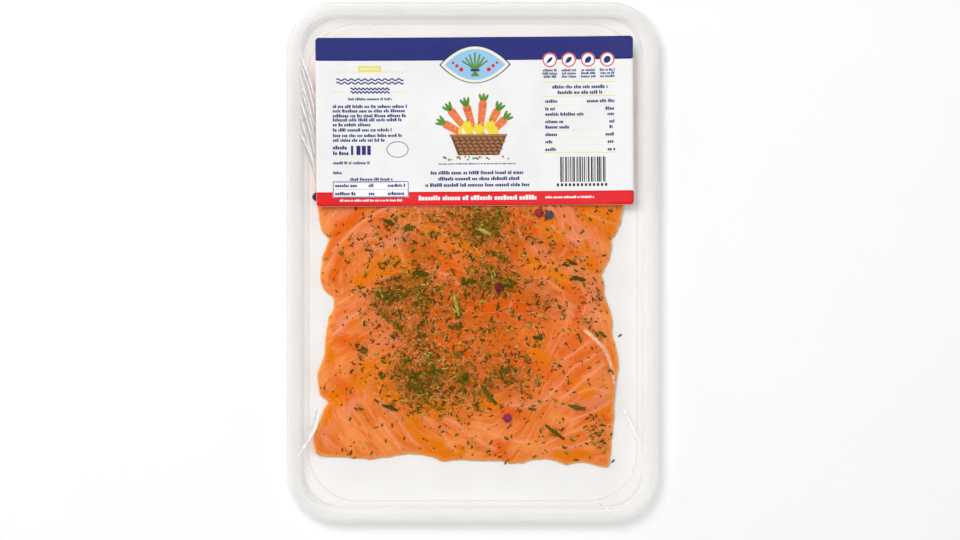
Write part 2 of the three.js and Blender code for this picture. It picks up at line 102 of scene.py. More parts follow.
# Film: its edge, where and how it sinks from the flange, its thickness and the gaps around it. How
# it settles on what is under it, and how stiffly close to the label, is a blur and its rounds
FILM_INSET = 3.6
FILM_RADIUS = 23.4
FILM_STEP = 1.1
FILM_SAG_START = 10.0
FILM_SAG_Z = 3.1
FILM_SAG_REACH = 6.5
FILM_GAP = 0.08
FILM_T = 0.1
FILM_OVER_FISH = 0.3
FILM_SETTLE = (1.6, 4)
FILM_STIFF_SETTLE = (7.0, 12)
FILM_STIFF_REACH = 3
CREASE_RINGS = 25

# Fish. A slice settles as the film does
SLICES = ["slice_1", "slice_2", "slice_3", "slice_4", "slice_5"]
SLICE_T = 2.75
SLICE_EDGE_SHARE = 0.45
SLICE_EDGE_REACH = 10
SLICE_UNEVEN = 0.22
SLICE_STEP = 0.7
SLICE_GAP = 0.06
SLICE_SETTLE = (2.2, 6)
OUTLINE_STEP = 1.5
OUTLINE_SMOOTH = 1.8
RAGGED = 0.35
MUSCLE_BAND = 6.5

# Label, in its own axes where nothing else is said
LABEL_WIDTH = 170.5
LABEL_LENGTH = 90.6
LABEL_CENTRE = (1, 75.7)
LABEL_TURN = math.radians(0.4)
LABEL_COS = math.cos(LABEL_TURN)
LABEL_SIN = math.sin(LABEL_TURN)
LABEL_RADIUS = 1.8
LABEL_T = 0.2
LABEL_STEP = 1.2
LABEL_OVER_FILM = 0.14
PRINT_T = 0.05
PRINT_GAP = 0.005
PRINT_STEP = 1.2
DISC_POINTS = 37
OVAL_POINTS = 48
FIELD_INSET = 0.1
BLUE_LOW = 32.9
RED_HIGH = -37.6
LEFT_COLUMN = (-76.2, -36.0)
RIGHT_COLUMN = (37.0, 76.4)
INK_COLOURS = {
    "navy": (38, 44, 118),
    "red": (226, 20, 28),
    "yellow": (232, 220, 116),
    "white": (246, 246, 248),
    "black": (30, 30, 34),
    "sky": (150, 198, 232),
    "cream": (240, 234, 214),
    "orange": (232, 120, 62),
    "peach": (250, 186, 150),
    "green": (92, 140, 48),
    "lemon": (238, 214, 60),
    "brown": (104, 66, 42),
    "tan": (166, 112, 66),
}

# Places of the larger chives and the peppercorns, as in the source: middle, direction in degrees
# clockwise, length, width. Chives nearer to the fish's edge than the gap are left out
LARGE_CHIVES = [
    (44.2, -91.5, 37, 13, 2.2), (56, -78, 13, 9.4, 2.4), (8.5, -71.3, 51, 13, 2.4),
    (-44.5, -78.4, 20, 9, 2.2), (-9, -23, 76, 12.4, 2.6), (-2.5, -10.2, -30, 7, 3.2),
    (6.4, 16.6, 28, 7.8, 3), (-45.4, -17.6, 84, 7.4, 2.2), (52, 0.2, -14, 7, 2.4),
    (56.4, -8.6, 4, 7, 3), (69.4, -39.6, 58, 5.6, 2.6), (35, -40.4, 30, 5.2, 3),
    (-45, 21.8, 55, 5.6, 3), (-35, 18.2, 70, 5.6, 3.2), (-9.4, -35, 12, 6.2, 3),
    (17.2, -57.6, 8, 6.6, 3.2), (-28, -6, -20, 6.4, 4), (-32, -66.8, 24, 6.6, 4.2),
]
LONG_CHIVE = 7.5
BRIGHT_CHIVES = [(-9, -23), (6.4, 16.6)]
LOOSE_CHIVES = [(75.7, -107.3), (79.5, -39.5), (17.6, -108.1), (33.4, -104.9)]
CHIVE_CLUMPS = [(-59.9, -46.3), (-31.6, -61.4), (21, -11.5), (-20, -60), (-4, -62.5)]
CLUMP_BITS = 9
CHIVE_EDGE_GAP = 0.4
PEPPERCORNS = [(18.6, -83.8), (14.2, -13.6), (35.6, 26.6), (41.2, 25.6), (-84.2, 35.2)]
PEPPER_RADIUS = 2.4
PEPPER_SUNK = 1.0
PEPPER_ROWS = 20

# Where the fine chopped chives lie densest: middle, spread, weight
CHIVE_CLOUDS = [
    (-20, -26, 24, 0.2), (30, -10, 26, 0.08), (-40, -19, 10, 0.3), (-28, -12, 7, 0.3),
    (-30, -66, 9, 0.6), (-28, -68, 5, 0.35), (-8, -66, 9, 0.35), (-20, -54, 8, 0.25),
    (5, 20, 8, 0.5), (-12, 22, 14, 0.12), (9, -9, 7, 0.7), (-28, -42, 10, 0.15),
    (-44, -60, 8, 0.2), (26, 20, 12, 0.12), (48, -16, 20, 0.08), (20, -57, 9, 0.22),
    (30, -66, 8, 0.12), (71, -93, 5, 0.4), (-40, 14, 14, 0.08), (20, -92, 20, 0.07),
    (-54, -24, 6, 0.15), (-62, 4, 8, 0.05),
]
CHIVE_FIELD_X = (-84, 80)
CHIVE_FIELD_Y = (-110, 36)
CHIVE_CLUSTERS = 330
CHIVE_COUNT = 3700
CHIVE_SIDES = 5
CHIVE_TONES = [
    (0.0, (116, 56, 4)), (0.12, (92, 66, 4)), (0.32, (66, 68, 6)), (0.5, (98, 84, 8)),
    (0.65, (112, 104, 18)), (0.8, (156, 108, 24)), (0.93, (168, 150, 50)), (1.0, (200, 196, 90)),
]
PEPPER_TONES = [
    (0.0, (168, 30, 92)), (0.25, (112, 18, 34)), (0.5, (176, 36, 44)), (0.75, (70, 76, 104)),
    (1.0, (38, 30, 34)),
]

# Flesh tones: soft strokes along the muscle. Each has half its width, then x and y of its points
TONES = {
    "light": [
        (3, -82, -58, -81, -66), (6, -68, -84, -64, -98), (4, -50, -90, -46, -99), (3, -81, 25, -79, 17),
        (2, -79, 2, -80, -8), (4, 0, -88, 12, -94), (3, 70, 9, 75, 3), (3, 72, -66, 75, -78),
        (3, -12, -98, 2, -104), (3, 62, -99, 71, -92), (3, -76, -33, -79, -39), (3, 66, -28, 73, -32),
        (3, 26, -98, 40, -102), (3, -72, -54, -70, -64), (3, 44, -84, 58, -88),
    ],
    # pink: paler flesh, in part a painted highlight and painted film haze
    "pink": [
        (3, -63, 10, -56, 15, -50, 20), (3, -46, 12, -38, 11, -36, 16), (2, -56, 7, -48, 9),
        (3, -61, -20, -68, -28, -71, -35), (2, -74, 24, -66, 29), (1.5, -20, -3, -13, -8),
        (4, -51, -41, -40, -41), (3, -52, -30, -42, -33), (2.5, -38, -29, -30, -32),
        (3, -60, -70, -66, -80), (2, -80, -90, -79, -97), (1.5, -50, -73, -46, -79),
        (2.4, 42, -47, 50, -43), (2, 40, -72, 47, -66), (2.5, 22, -76, 34, -77), (3.5, 58, -77, 72, -75),
        (6, 47, 27, 55, 19, 62, 9), (3, 61, 1, 66, -10, 66, -21), (3.5, 32, 7, 39, 5),
        (2.5, 4, -12, 8, -17), (3, 29, -11, 37, -14, 44, -24), (3.5, 51, -28, 57, -26),
        (2.5, 9, 23, 18, 23), (2.5, 52, -4, 58, -5), (2.5, 0, 22, 2, 15), (3, 8, -62, 12, -68),
        (2, -22, -66, -17, -69), (2.5, -40, -58, -38, -66), (2, 20, 2, 24, -8), (3, 66, -20, 62, -30),
        (3, -48, -24, -54, -22),
    ],
    "oily": [
        (22, -26, -24, 6, -36), (14, -4, 20, 20, 14), (12, 20, -10, 30, -24), (11, -36, -62, -22, -54),
        (11, -2, -60, 16, -62), (9, -36, -4, -28, 6),
    ],
    "herbal": [
        (8, -44, -18, -30, -13), (8, -32, -34, -26, -48), (8, -38, -60, -32, -72), (7, -8, -58, -3, -70),
        (8, 2, 26, 8, 14), (6, 9, -7, 17, -12), (6, -32, 26, -14, 24), (5, -46, -58, -50, -66),
        (5, 12, -62, 20, -60), (5, 24, 20, 28, 26),
    ],
    "deep": [
        (3, -78, 4, -71, 18, -60, 27), (2, -71, 2, -75, -9), (4, 50, -66, 58, -57),
        (5, 50, -48, 60, -42), (6, 27, -52, 37, -56), (2.5, 56, -51, 65, -49), (4, 20, -20, 28, -29),
        (3.5, 43, 9, 51, 5), (3, 50, -14, 58, -18), (3, 17, -79, 26, -82), (3, -72, -41, -64, -45),
        (3, -72, -64, -66, -71), (4, -2, -19, 14, -25), (3, -20, 1, -9, -4), (3, -52, 26, -46, 17),
        (3, 14, -98, 16, -106), (2.5, 60, -20, 56, -32), (3, 60, -82, 70, -83), (3, -16, -44, -4, -48),
        (3, 22, 26, 32, 18),
    ],
    "gold": [
        (6, 65, 28, 77, 20), (3.5, -59, -7, -51, -4, -45, -1), (2, -60, -11, -65, -19),
        (4, -61, -65, -55, -58, -49, -54), (3.5, -49, -65, -49, -72, -41, -73),
        (2.5, -75, -71, -73, -75), (2, -78, -79, -80, -85), (3.5, -27, -78, -11, -79),
        (3, -24, 18, -14, 11, 0, 6), (3.5, 29, 4, 35, -2), (3.5, 60, 5, 65, -3), (3, 41, -5, 49, -9),
        (3, 34, -47, 39, -52), (3, 57, -66, 62, -71), (2, 70, -80, 73, -78), (1.5, 76, -49, 77, -56),
        (2.5, -30, -94, -18, -99), (3, -41, 4, -36, -2), (2.5, -78, -48, -76, -52), (3, 40, 20, 46, 14),
        (3, -30, -80, -34, -88), (3, 2, -77, 12, -76), (3, 46, -104, 62, -105), (3, -8, -104, -24, -103),
    ],
}

# How much of a tone shows, and its colour, from the lowest to the topmost
TONE_COLOURS = {
    "light": (0.7, (242, 150, 80)),
    "pink": (0.7, (230, 136, 98)),
    "oily": (0.8, (198, 90, 4)),
    "herbal": (0.45, (152, 92, 26)),
    "deep": (0.75, (224, 90, 0)),
    "gold": (0.95, (226, 120, 0)),
}

# Pale lines of fat on the slices, in the same form; and the broad pale arc that two slices share, a fat
# line with a painted highlight along it
FAT_LINES = {
    "slice_2": [
        (0.6, -82, 17, -77, 24, -70, 31), (0.5, -84, 26, -80, 33), (0.5, 62, 27, 70, 22, 78, 21),
    ],
    "slice_3": [
        (0.9, -76, 6, -68, 15, -56, 24, -44, 31), (0.7, -80, -4, -74, 6),
        (0.7, -42.2, 30, -41.1, 11.9, -35.8, -5.2), (0.5, 23.7, 21, 26.4, 12.5),
        (0.7, 42.3, 20, 48.2, 15.3, 54.5, 12.5, 62, 13), (0.6, 50.5, 7.8, 46.4, 2),
        (0.5, -20, 28, -16, 16, -8, 8), (0.7, 62, 4, 56, -1), (0.5, 8, 30, 14, 22, 16, 12),
        (0.5, 32, 12, 36, 4),
    ],
    "slice_4": [
        (0.6, 20.5, -19, 20.5, -27), (0.7, -21.9, -4, -12.6, -7.3, -6.8, -12),
        (0.5, -36, -31, -31, -38, -27, -46), (0.8, -72, -22, -64, -17, -56, -14),
        (0.8, -76, -40, -66, -30, -58, -24), (0.7, 38, -8, 46, -14, 52, -22),
        (0.8, 58, -12, 62, -20, 60, -28), (0.7, 30, -26, 40, -30), (0.7, 66, -24, 70, -36, 72, -48),
    ],
    "slice_5": [
        (0.8, -50.2, -84, -45, -93, -37, -103), (0.8, -44.5, -80, -38, -88, -30, -98.5),
        (0.8, -29, -81.5, -18, -90, -9, -101.7), (0.7, -51.5, -73.5, -46.3, -78.1),
        (0.8, -14, -84, -2, -93, 12, -101), (1.0, 47.6, -52.9, 62.9, -42.7),
        (0.9, 48.2, -73.5, 54.6, -67.7, 65, -59.6, 70.8, -54.9), (0.8, 59.6, -61.5, 70.9, -55.1),
        (0.9, 67.1, -48.6, 51.6, -59.4, 45.7, -67.4, 38.7, -73.3, 28.5, -78.1, 17.3, -76),
        (0.8, 51.6, -86.2, 59.6, -82.3, 72.5, -77), (0.8, 43.5, -100.8, 54, -99, 63.3, -96.2),
        (0.7, 35.3, -99, 45.8, -95, 56.9, -90.4), (0.7, -30, -52.6, -24.2, -53.7, -14.3, -61.3),
        (0.6, -15.9, -50.8, -15.9, -56.1), (0.7, 2, -88, 16, -95, 30, -97),
        (0.7, 56, -70, 66, -68, 74, -70),
    ],
}
FAT_ARC_WITH_HIGHLIGHT = (1.0, 60.5, -36.5, 65.5, -41, 70, -45.5, 73, -51, 75.2, -57.5, 76.4, -65)

# Where each slice's muscle runs round: middle of the rings, how much longer than wide they are,
# and how far the middle climbs towards the right
GRAIN_CENTRES = {
    "slice_1": (10, 60, 1.4, 0),
    "slice_2": (0, 10, 1.3, 0),
    "slice_3": (-40, -12, 1.2, 0),
    "slice_4": (-20, -90, 1.3, 0),
    "slice_5": (22, -42, 1.1, 54),
}

# Folds pulled into the film between the flange and what it lies on, in painted light: white for a
# painted highlight on the whitened film, grey for painted shade. Tone, from white 1 to grey 0, width,
# start, middle and end
CREASES = [
    (1, 0.7, (78.9, -74.4), (84.8, -86.2), (91.8, -101.7)),
    (1, 0.5, (65, -126.9), (71, -131.6), (76.8, -135.5)),
    (1, 1.1, (-82.5, -78), (-85.4, -89.9), (-93.7, -103.9)),
    (0.5, 1.2, (-83.8, -79), (-87, -90), (-94, -101)),
    (1, 0.6, (-83, -86), (-87, -94), (-93, -100)),
    (1, 0.5, (-61.5, 131.4), (-55, 127), (-48.6, 123.4)),
    (1, 0.4, (84.5, -20), (87.5, -13), (89.5, -8)),
    (1, 0.5, (86, -108), (84, -116), (79, -124)),
]

# The fan of steep folds left of the label: where each starts and how far it drops, the x of its
# start, middle and end, and the tone, width and shift of its painted highlight and of its painted shade
# beside it
SIDE_FOLDS = [(112, 24), (107, 28), (101, 28), (95, 30), (88, 30), (80, 28), (70, 22)]
SIDE_FOLD_X = (-92.6, -88.4, -84.7)
SIDE_FOLD_HIGHLIGHT_AND_SHADE = [(1, 1.0, 0.0), (0.1, 1.1, -2.5)]


def srgb(red, green, blue):
    """Linear colour of an 8-bit screen colour."""
    values = np.array([red, green, blue]) / 255
    low = values / 12.92
    high = ((values + 0.055) / 1.055) ** 2.4
    return (*np.where(values <= 0.04045, low, high), 1.0)


# Height fields on a regular raster over the whole pack

RASTER = 1.0
RASTER_X = np.arange(-WIDTH / 2, WIDTH / 2 + RASTER / 2, RASTER)
RASTER_Y = np.arange(-LENGTH / 2, LENGTH / 2 + RASTER / 2, RASTER)
GRID_X, GRID_Y = np.meshgrid(RASTER_X, RASTER_Y)


def bell(steps, sigma):
    """Weights of a Gaussian that add up to one."""
    weights = np.exp(-((steps / sigma) ** 2) / 2)
    return weights / weights.sum()


def blurred(field, sigma):
    """Gaussian blur, sigma in millimetres, with the field's border repeated."""
    reach = max(1, int(round(3 * sigma / RASTER)))
    weights = bell(np.arange(-reach, reach + 1) * RASTER, sigma)
    padded = np.pad(field, reach, mode="edge")
    for axis in (0, 1):
        padded = np.apply_along_axis(np.convolve, axis, padded, weights, "valid")
    return padded


def settled(support, sigma, rounds):
    """A sheet laid over its support: evened out, never below it."""
    field = support.copy()
    for _ in range(rounds):
        field = np.maximum(support, blurred(field, sigma))
    return field


def sampled(field, x, y):
    """A raster field between its points."""
    u = np.clip((x - RASTER_X[0]) / RASTER, 0, len(RASTER_X) - 1.001)
    v = np.clip((y - RASTER_Y[0]) / RASTER, 0, len(RASTER_Y) - 1.001)
    i = u.astype(int)
    j = v.astype(int)
    lower = field[j, i] * (1 - u + i) + field[j, i + 1] * (u - i)
    upper = field[j + 1, i] * (1 - u + i) + field[j + 1, i + 1] * (u - i)
    return lower * (1 - v + j) + upper * (v - j)


def surface(field):
    """A raster field as a function of x and y."""
    return lambda x, y: sampled(field, x, y)


def raised(ground, height):
    """A surface some way above another one."""
    return lambda x, y: ground(x, y) + height


def smoothstep(value, low, high):
    share = np.clip((value - low) / (high - low), 0, 1)
    return share * share * (3 - 2 * share)


def relief(x, y, seed):
    """Gentle uneven relief between about -1 and 1, as in the source."""
    a = np.sin(0.071 * x + 0.043 * y + seed * 1.7)
    b = np.sin(-0.049 * x + 0.102 * y + seed * 2.9)
    c = np.sin(0.155 * x + 0.121 * y + seed * 4.1)
    return 0.4 * a + 0.35 * b + 0.25 * c


def rounded_depth(x, y, width, length, radius):
    """How deep a place lies inside a rounded rectangle, less than zero outside it."""
    qx = np.abs(x) - (width / 2 - radius)
    qy = np.abs(y) - (length / 2 - radius)
    outside = np.hypot(np.maximum(qx, 0), np.maximum(qy, 0))
    return radius - outside - np.minimum(np.maximum(qx, qy), 0)


def depth_from(inset, radius, x, y):
    """How deep a place lies inside the rounded rectangle at one inset from the pack's edge."""
    return rounded_depth(x, y, WIDTH - 2 * inset, LENGTH - 2 * inset, radius)


def inset_at(x, y):
    """Distance in from the pack's edge, measured from the flange's inner edge."""
    return FLANGE_INNER_INSET + depth_from(FLANGE_INNER_INSET, FLANGE_INNER_RADIUS, x, y)


def tray_height(inset):
    insets, _, heights = zip(*TRAY_PROFILE[INNER_PROFILE_START:])
    return np.where(inset < insets[0], FLANGE_Z, np.interp(inset, insets, heights))


def segment_distance(x, y, a, b):
    """Distance from places to one straight stretch."""
    dx = b[0] - a[0]
    dy = b[1] - a[1]
    share = np.clip(((x - a[0]) * dx + (y - a[1]) * dy) / (dx * dx + dy * dy + 1e-12), 0, 1)
    return np.hypot(x - a[0] - share * dx, y - a[1] - share * dy)


def line_distance(lines, x, y):
    """Distance to the nearest of some lines, in units of each line's own width."""
    nearest = np.full(np.shape(x), 99.0)
    for width, *places in lines:
        line = list(zip(places[::2], places[1::2]))
        for a, b in zip(line, line[1:]):
            nearest = np.minimum(nearest, segment_distance(x, y, a, b) / width)
    return nearest


def outline_depth(points, x, y):
    """How deep places lie inside a closed outline, less than zero outside it."""
    flat_x = x.ravel()
    flat_y = y.ravel()
    nearest = np.full(flat_x.shape, np.inf)
    inside = np.zeros(flat_x.shape, bool)
    for a, b in zip(points, np.roll(points, -1, axis=0)):
        nearest = np.minimum(nearest, segment_distance(flat_x, flat_y, a, b))
        crosses = (a[1] > flat_y) != (b[1] > flat_y)
        if crosses.any():
            at = (b[0] - a[0]) * (flat_y - a[1]) / (b[1] - a[1] + 1e-12) + a[0]
            inside ^= crosses & (flat_x < at)
    return np.where(inside, nearest, -nearest).reshape(x.shape)


# Meshes


def make_object(name, points, faces, attributes=None, smooth=True):
    """A mesh object from millimetre points, riding on the pack."""
    mesh = bpy.data.meshes.new(name)
    mesh.from_pydata((np.asarray(points) * MM).tolist(), [], faces)
    for key, values in (attributes or {}).items():
        values = np.asarray(values, float)
        kind, field = ("FLOAT", "value") if values.ndim == 1 else ("FLOAT_VECTOR", "vector")
        mesh.attributes.new(key, kind, "POINT").data.foreach_set(field, values.ravel())
    mesh.polygons.foreach_set("use_smooth", [smooth] * len(mesh.polygons))
    mesh.update()
    made = bpy.data.objects.new(name, mesh)
    bpy.context.scene.collection.objects.link(made)
    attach(made, "root")
    return made


def dress(piece, material, node=None):
    """Gives a piece its material and slot, and hides the solid it replaces, if one is named."""
    piece.data.materials.append(material)
    if node:
        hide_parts(node)


def four_corners(grid):
    """Each cell's four corner values, going round."""
    return np.stack([grid[:-1, :-1], grid[:-1, 1:], grid[1:, 1:], grid[1:, :-1]], axis=-1).reshape(-1, 4)


def thin_sheet(name, step, depth, top, bottom, fields=None):
    """A closed thin sheet: grid points close to the outline are moved onto it. depth, top and bottom
    are functions of x and y, and fields gives attributes by name the same way."""
    x, y = np.meshgrid(
        np.arange(-WIDTH / 2, WIDTH / 2 + step, step), np.arange(-LENGTH / 2, LENGTH / 2 + step, step)
    )
    coarse = depth(x, y)
    near = np.abs(coarse) < step / 2
    small = 0.01
    slope_x = (depth(x[near] + small, y[near]) - depth(x[near] - small, y[near])) / (2 * small)
    slope_y = (depth(x[near], y[near] + small) - depth(x[near], y[near] - small)) / (2 * small)
    x[near] -= coarse[near] * slope_x
    y[near] -= coarse[near] * slope_y
    keep = coarse > -step / 2
    count = int(keep.sum())
    corners = four_corners(np.cumsum(keep.ravel()).reshape(keep.shape) - 1)
    kept = four_corners(keep)
    faces = corners[kept.all(1)].tolist()
    for missing in range(4):
        three = (kept.sum(1) == 3) & ~kept[:, missing]
        faces += np.delete(corners[three], missing, axis=1).tolist()
    forward = np.array([(f[k], f[(k + 1) % len(f)]) for f in faces for k in range(len(f))])
    codes = forward[:, 0] * count + forward[:, 1]
    back = forward[:, 1] * count + forward[:, 0]
    rim = forward[~np.isin(back, codes)]
    used = np.zeros(count, bool)
    used[forward.ravel()] = True
    px = x[keep]
    py = y[keep]
    low = bottom(px, py)
    high = np.maximum(top(px, py), low + 0.02)
    points = np.concatenate([np.stack([px, py, high], 1), np.stack([px, py, low], 1)])
    faces += [[v + count for v in reversed(f)] for f in faces]
    faces += [[a, a + count, b + count, b] for a, b in rim.tolist()]
    renumber = np.cumsum(np.tile(used, 2)) - 1
    faces = [[int(renumber[v]) for v in f] for f in faces]
    points = points[np.tile(used, 2)]
    attributes = {key: field(points[:, 0], points[:, 1]) for key, field in (fields or {}).items()}
    return make_object(name, points, faces, attributes)


def join_rings(faces, first, sides, rings):
    """Quads between rings of points that follow one another."""
    for r in range(rings - 1):
        for k in range(sides):
            a = first + sides * r + k
            b = first + sides * r + (k + 1) % sides
            faces.append((a, a + sides, b + sides, b))


def add_tube(points, faces, rings):
    """Adds a closed tube, given its rings of points."""
    first = len(points)
    sides = len(rings[0])
    for ring in rings:
        points += ring
    join_rings(faces, first, sides, len(rings))
    faces.append(tuple(first + k for k in range(sides)))
    faces.append(tuple(len(points) - sides + k for k in reversed(range(sides))))


def make_tubes(name, tubes, smooth=True):
    """One object of many closed tubes, each given by its rings and its tint."""
    points = []
    faces = []
    tints = []
    for rings, tint in tubes:
        add_tube(points, faces, rings)
        tints += [tint] * (len(points) - len(tints))
    return make_object(name, points, faces, {"tint": tints}, smooth)


# Tray


def rounded_ring(inset, radius, z, per_corner=24):
    """A rounded rectangle at one distance in from the pack's edge."""
    ring = []
    for quarter, (sx, sy) in enumerate([(1, 1), (-1, 1), (-1, -1), (1, -1)]):
        for k in range(per_corner + 1):
            angle = (quarter + k / per_corner) * math.pi / 2
            x = sx * (WIDTH / 2 - inset - radius) + radius * math.cos(angle)
            y = sy * (LENGTH / 2 - inset - radius) + radius * math.sin(angle)
            ring.append((x, y, z))
    return ring


def offset_profile(profile, thickness):
    """The tray's other face, one wall thickness away, as in the source."""
    result = []
    for i, (inset, radius, z) in enumerate(profile):
        run = (0.0, 1.0)
        if i == len(profile) - 1:
            run = (1.0, 0.0)
        elif i > 0:
            dx = profile[i + 1][0] - profile[i - 1][0]
            dz = profile[i + 1][2] - profile[i - 1][2]
            run = (dx / math.hypot(dx, dz), dz / math.hypot(dx, dz))
        shift = thickness * run[1]
        result.append((inset + shift, radius - shift, z - thickness * run[0]))
    return result


def make_tray():
    profile = TRAY_PROFILE[::-1] + offset_profile(TRAY_PROFILE, TRAY_T)
    rings = [rounded_ring(*place) for place in profile]
    points = []
    faces = []
    add_tube(points, faces, rings)
    insets = np.repeat([place[0] for place in profile], len(rings[0]))
    piece = make_object("clear_tray", points, faces, {"inset": insets})
    dress(piece, clear_plastic(), "tray")


# Fish


def node_outline(name):
    """The outline of a slice's solid, from its lower face's edge, kept inside the label's left edge."""
    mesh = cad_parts[name].data
    points = np.array([v.co for v in mesh.vertices]) / MM
    _, first, same = np.unique(np.round(points, 3), axis=0, return_index=True, return_inverse=True)
    same = same.ravel()
    edges = set()
    for face in mesh.polygons:
        if face.normal.z <= -0.3:
            ids = [int(same[v]) for v in face.vertices]
            edges.update((ids[k], ids[(k + 1) % len(ids)]) for k in range(len(ids)))
    follows = {a: b for a, b in edges if (b, a) not in edges}
    loops = []
    while follows:
        loop = [next(iter(follows))]
        while loop[-1] in follows:
            loop.append(follows.pop(loop[-1]))
        loops.append(loop[:-1])
    places = np.array([points[first[k]][:2] for k in max(loops, key=len)])
    under_label = places[:, 1] > LABEL_CENTRE[1] - LABEL_LENGTH / 2
    places[under_label, 0] = np.maximum(places[under_label, 0], LABEL_CENTRE[0] - LABEL_WIDTH / 2 - 0.3)
    return places


def even_outline(points, seed):
    """The outline with evenly spaced points, smoothed, then slightly ragged."""
    closed = np.vstack([points, points[:1]])
    along = np.concatenate([[0], np.cumsum(np.hypot(*np.diff(closed, axis=0).T))])
    count = int(along[-1] / OUTLINE_STEP)
    places = np.linspace(0, along[-1], count, endpoint=False)
    even = np.stack([np.interp(places, along, closed[:, k]) for k in range(2)], 1)
    steps = np.arange(-8, 9)
    weights = bell(steps * OUTLINE_STEP, OUTLINE_SMOOTH)
    smooth = sum(w * np.roll(even, s, axis=0) for w, s in zip(weights, steps))
    random = np.random.default_rng(seed)
    fine = random.normal(0, 1, count)
    broad = np.repeat(random.normal(0, 1, count // 4 + 1), 4)[:count]
    wobble = sum(np.roll(fine, s) for s in (-1, 0, 1)) / 3 + 0.6 * broad
    tangent = np.roll(smooth, -1, axis=0) - np.roll(smooth, 1, axis=0)
    tangent /= np.linalg.norm(tangent, axis=1)[:, None] + 1e-9
    normal = np.stack([tangent[:, 1], -tangent[:, 0]], 1)
    return smooth + RAGGED * wobble[:, None] * normal


def slice_thickness(index, x, y, depth):
    """Thickness of a slice at places and their depth inside its outline: less towards the edge."""
    body = smoothstep(depth, 0, SLICE_EDGE_REACH)
    full = SLICE_T * (1 + SLICE_UNEVEN * relief(x, y, index))
    round_off = 0.04 + 0.96 * smoothstep(depth, -1.5, 2.6)
    return full * (SLICE_EDGE_SHARE + (1 - SLICE_EDGE_SHARE) * body) * round_off


def lay_slices():
    """Outlines and height fields of the slices, laid one over another from the label's end."""
    laid = []
    top_so_far = tray_height(inset_at(GRID_X, GRID_Y))
    for index, name in enumerate(SLICES):
        outline = even_outline(node_outline(name), 20 + index)
        depth = outline_depth(outline, GRID_X, GRID_Y)
        bottom = settled(top_so_far + SLICE_GAP, *SLICE_SETTLE)
        top = bottom + slice_thickness(index, GRID_X, GRID_Y, depth)
        top_so_far = np.where(depth > 0, np.maximum(top, top_so_far), top_so_far)
        laid.append({"outline": outline, "bottom": bottom, "depth": depth})
    return laid, top_so_far


def warped(x, y):
    """Places shifted a little, so that lines drawn at them waver."""
    wave = 0.4 * np.sin(0.35 * x + 0.2 * y) + 0.3 * np.sin(0.5 * y - 0.31 * x + 2)
    return x + wave, y + 0.4 * np.sin(0.4 * x - 0.23 * y + 1)


def grain(index, x, y):
    """Coordinates across and along the muscle, in millimetres, and one that sets slices apart."""
    cx, cy, stretch, climb = GRAIN_CENTRES[SLICES[index]]
    dx = (x - cx) / stretch
    dy = y - cy - climb * smoothstep(x, 5, 65)
    return np.stack([np.hypot(dx, dy), np.arctan2(dy, dx) * 60, np.full(x.shape, 37.0 * index)], 1)


def make_slice(index, part, fish_rim, stain, material):
    """A slice as a thin sheet, with all that its material paints by as attributes."""
    name = SLICES[index]
    bottom = surface(part["bottom"])

    def depth(x, y):
        return outline_depth(part["outline"], x, y)

    def top(x, y):
        return bottom(x, y) + slice_thickness(index, x, y, depth(x, y))

    fields = {
        "rim": surface(fish_rim),
        "fat": lambda x, y: line_distance(FAT_LINES.get(name, []), *warped(x, y)),
        "arc": lambda x, y: line_distance([FAT_ARC_WITH_HIGHLIGHT], x, y),
        "grain": lambda x, y: grain(index, *warped(x, y)),
        "stain": surface(stain),
    }
    for tone, strokes in TONES.items():
        fields[tone] = lambda x, y, strokes=strokes: np.exp(-line_distance(strokes, x, y) ** 2 / 2)
    dress(thin_sheet("salmon_" + name, SLICE_STEP, depth, top, bottom, fields), material, name)


# Toppings


def chive_weight(x, y):
    """How likely a fine chive lies at a place, up to 1."""
    total = sum(
        weight * math.exp(-((x - cx) ** 2 + (y - cy) ** 2) / (2 * spread**2))
        for cx, cy, spread, weight in CHIVE_CLOUDS
    )
    return min(1.0, 0.03 + total)


def chive_place(random):
    """A random place, likelier where the chives lie dense."""
    while True:
        x = random.uniform(*CHIVE_FIELD_X)
        y = random.uniform(*CHIVE_FIELD_Y)
        if random.random() < chive_weight(x, y):
            return x, y


def fine_bit(x, y, spread, tint, random):
    """A small chive near a place, in the same form as the others: few are large."""
    dx, dy = random.normal(0, 1, 2) * spread
    size = random.random() ** 2.6
    length = random.uniform(0.45, 1.1) + 2.0 * size
    width = random.uniform(0.4, 0.75) + 0.6 * size
    shade = min(1.0, max(0.0, tint + random.normal(0, 0.2)))
    return x + dx, y + dy, random.uniform(0, math.pi), length, width, 0.35, 0.97 * shade


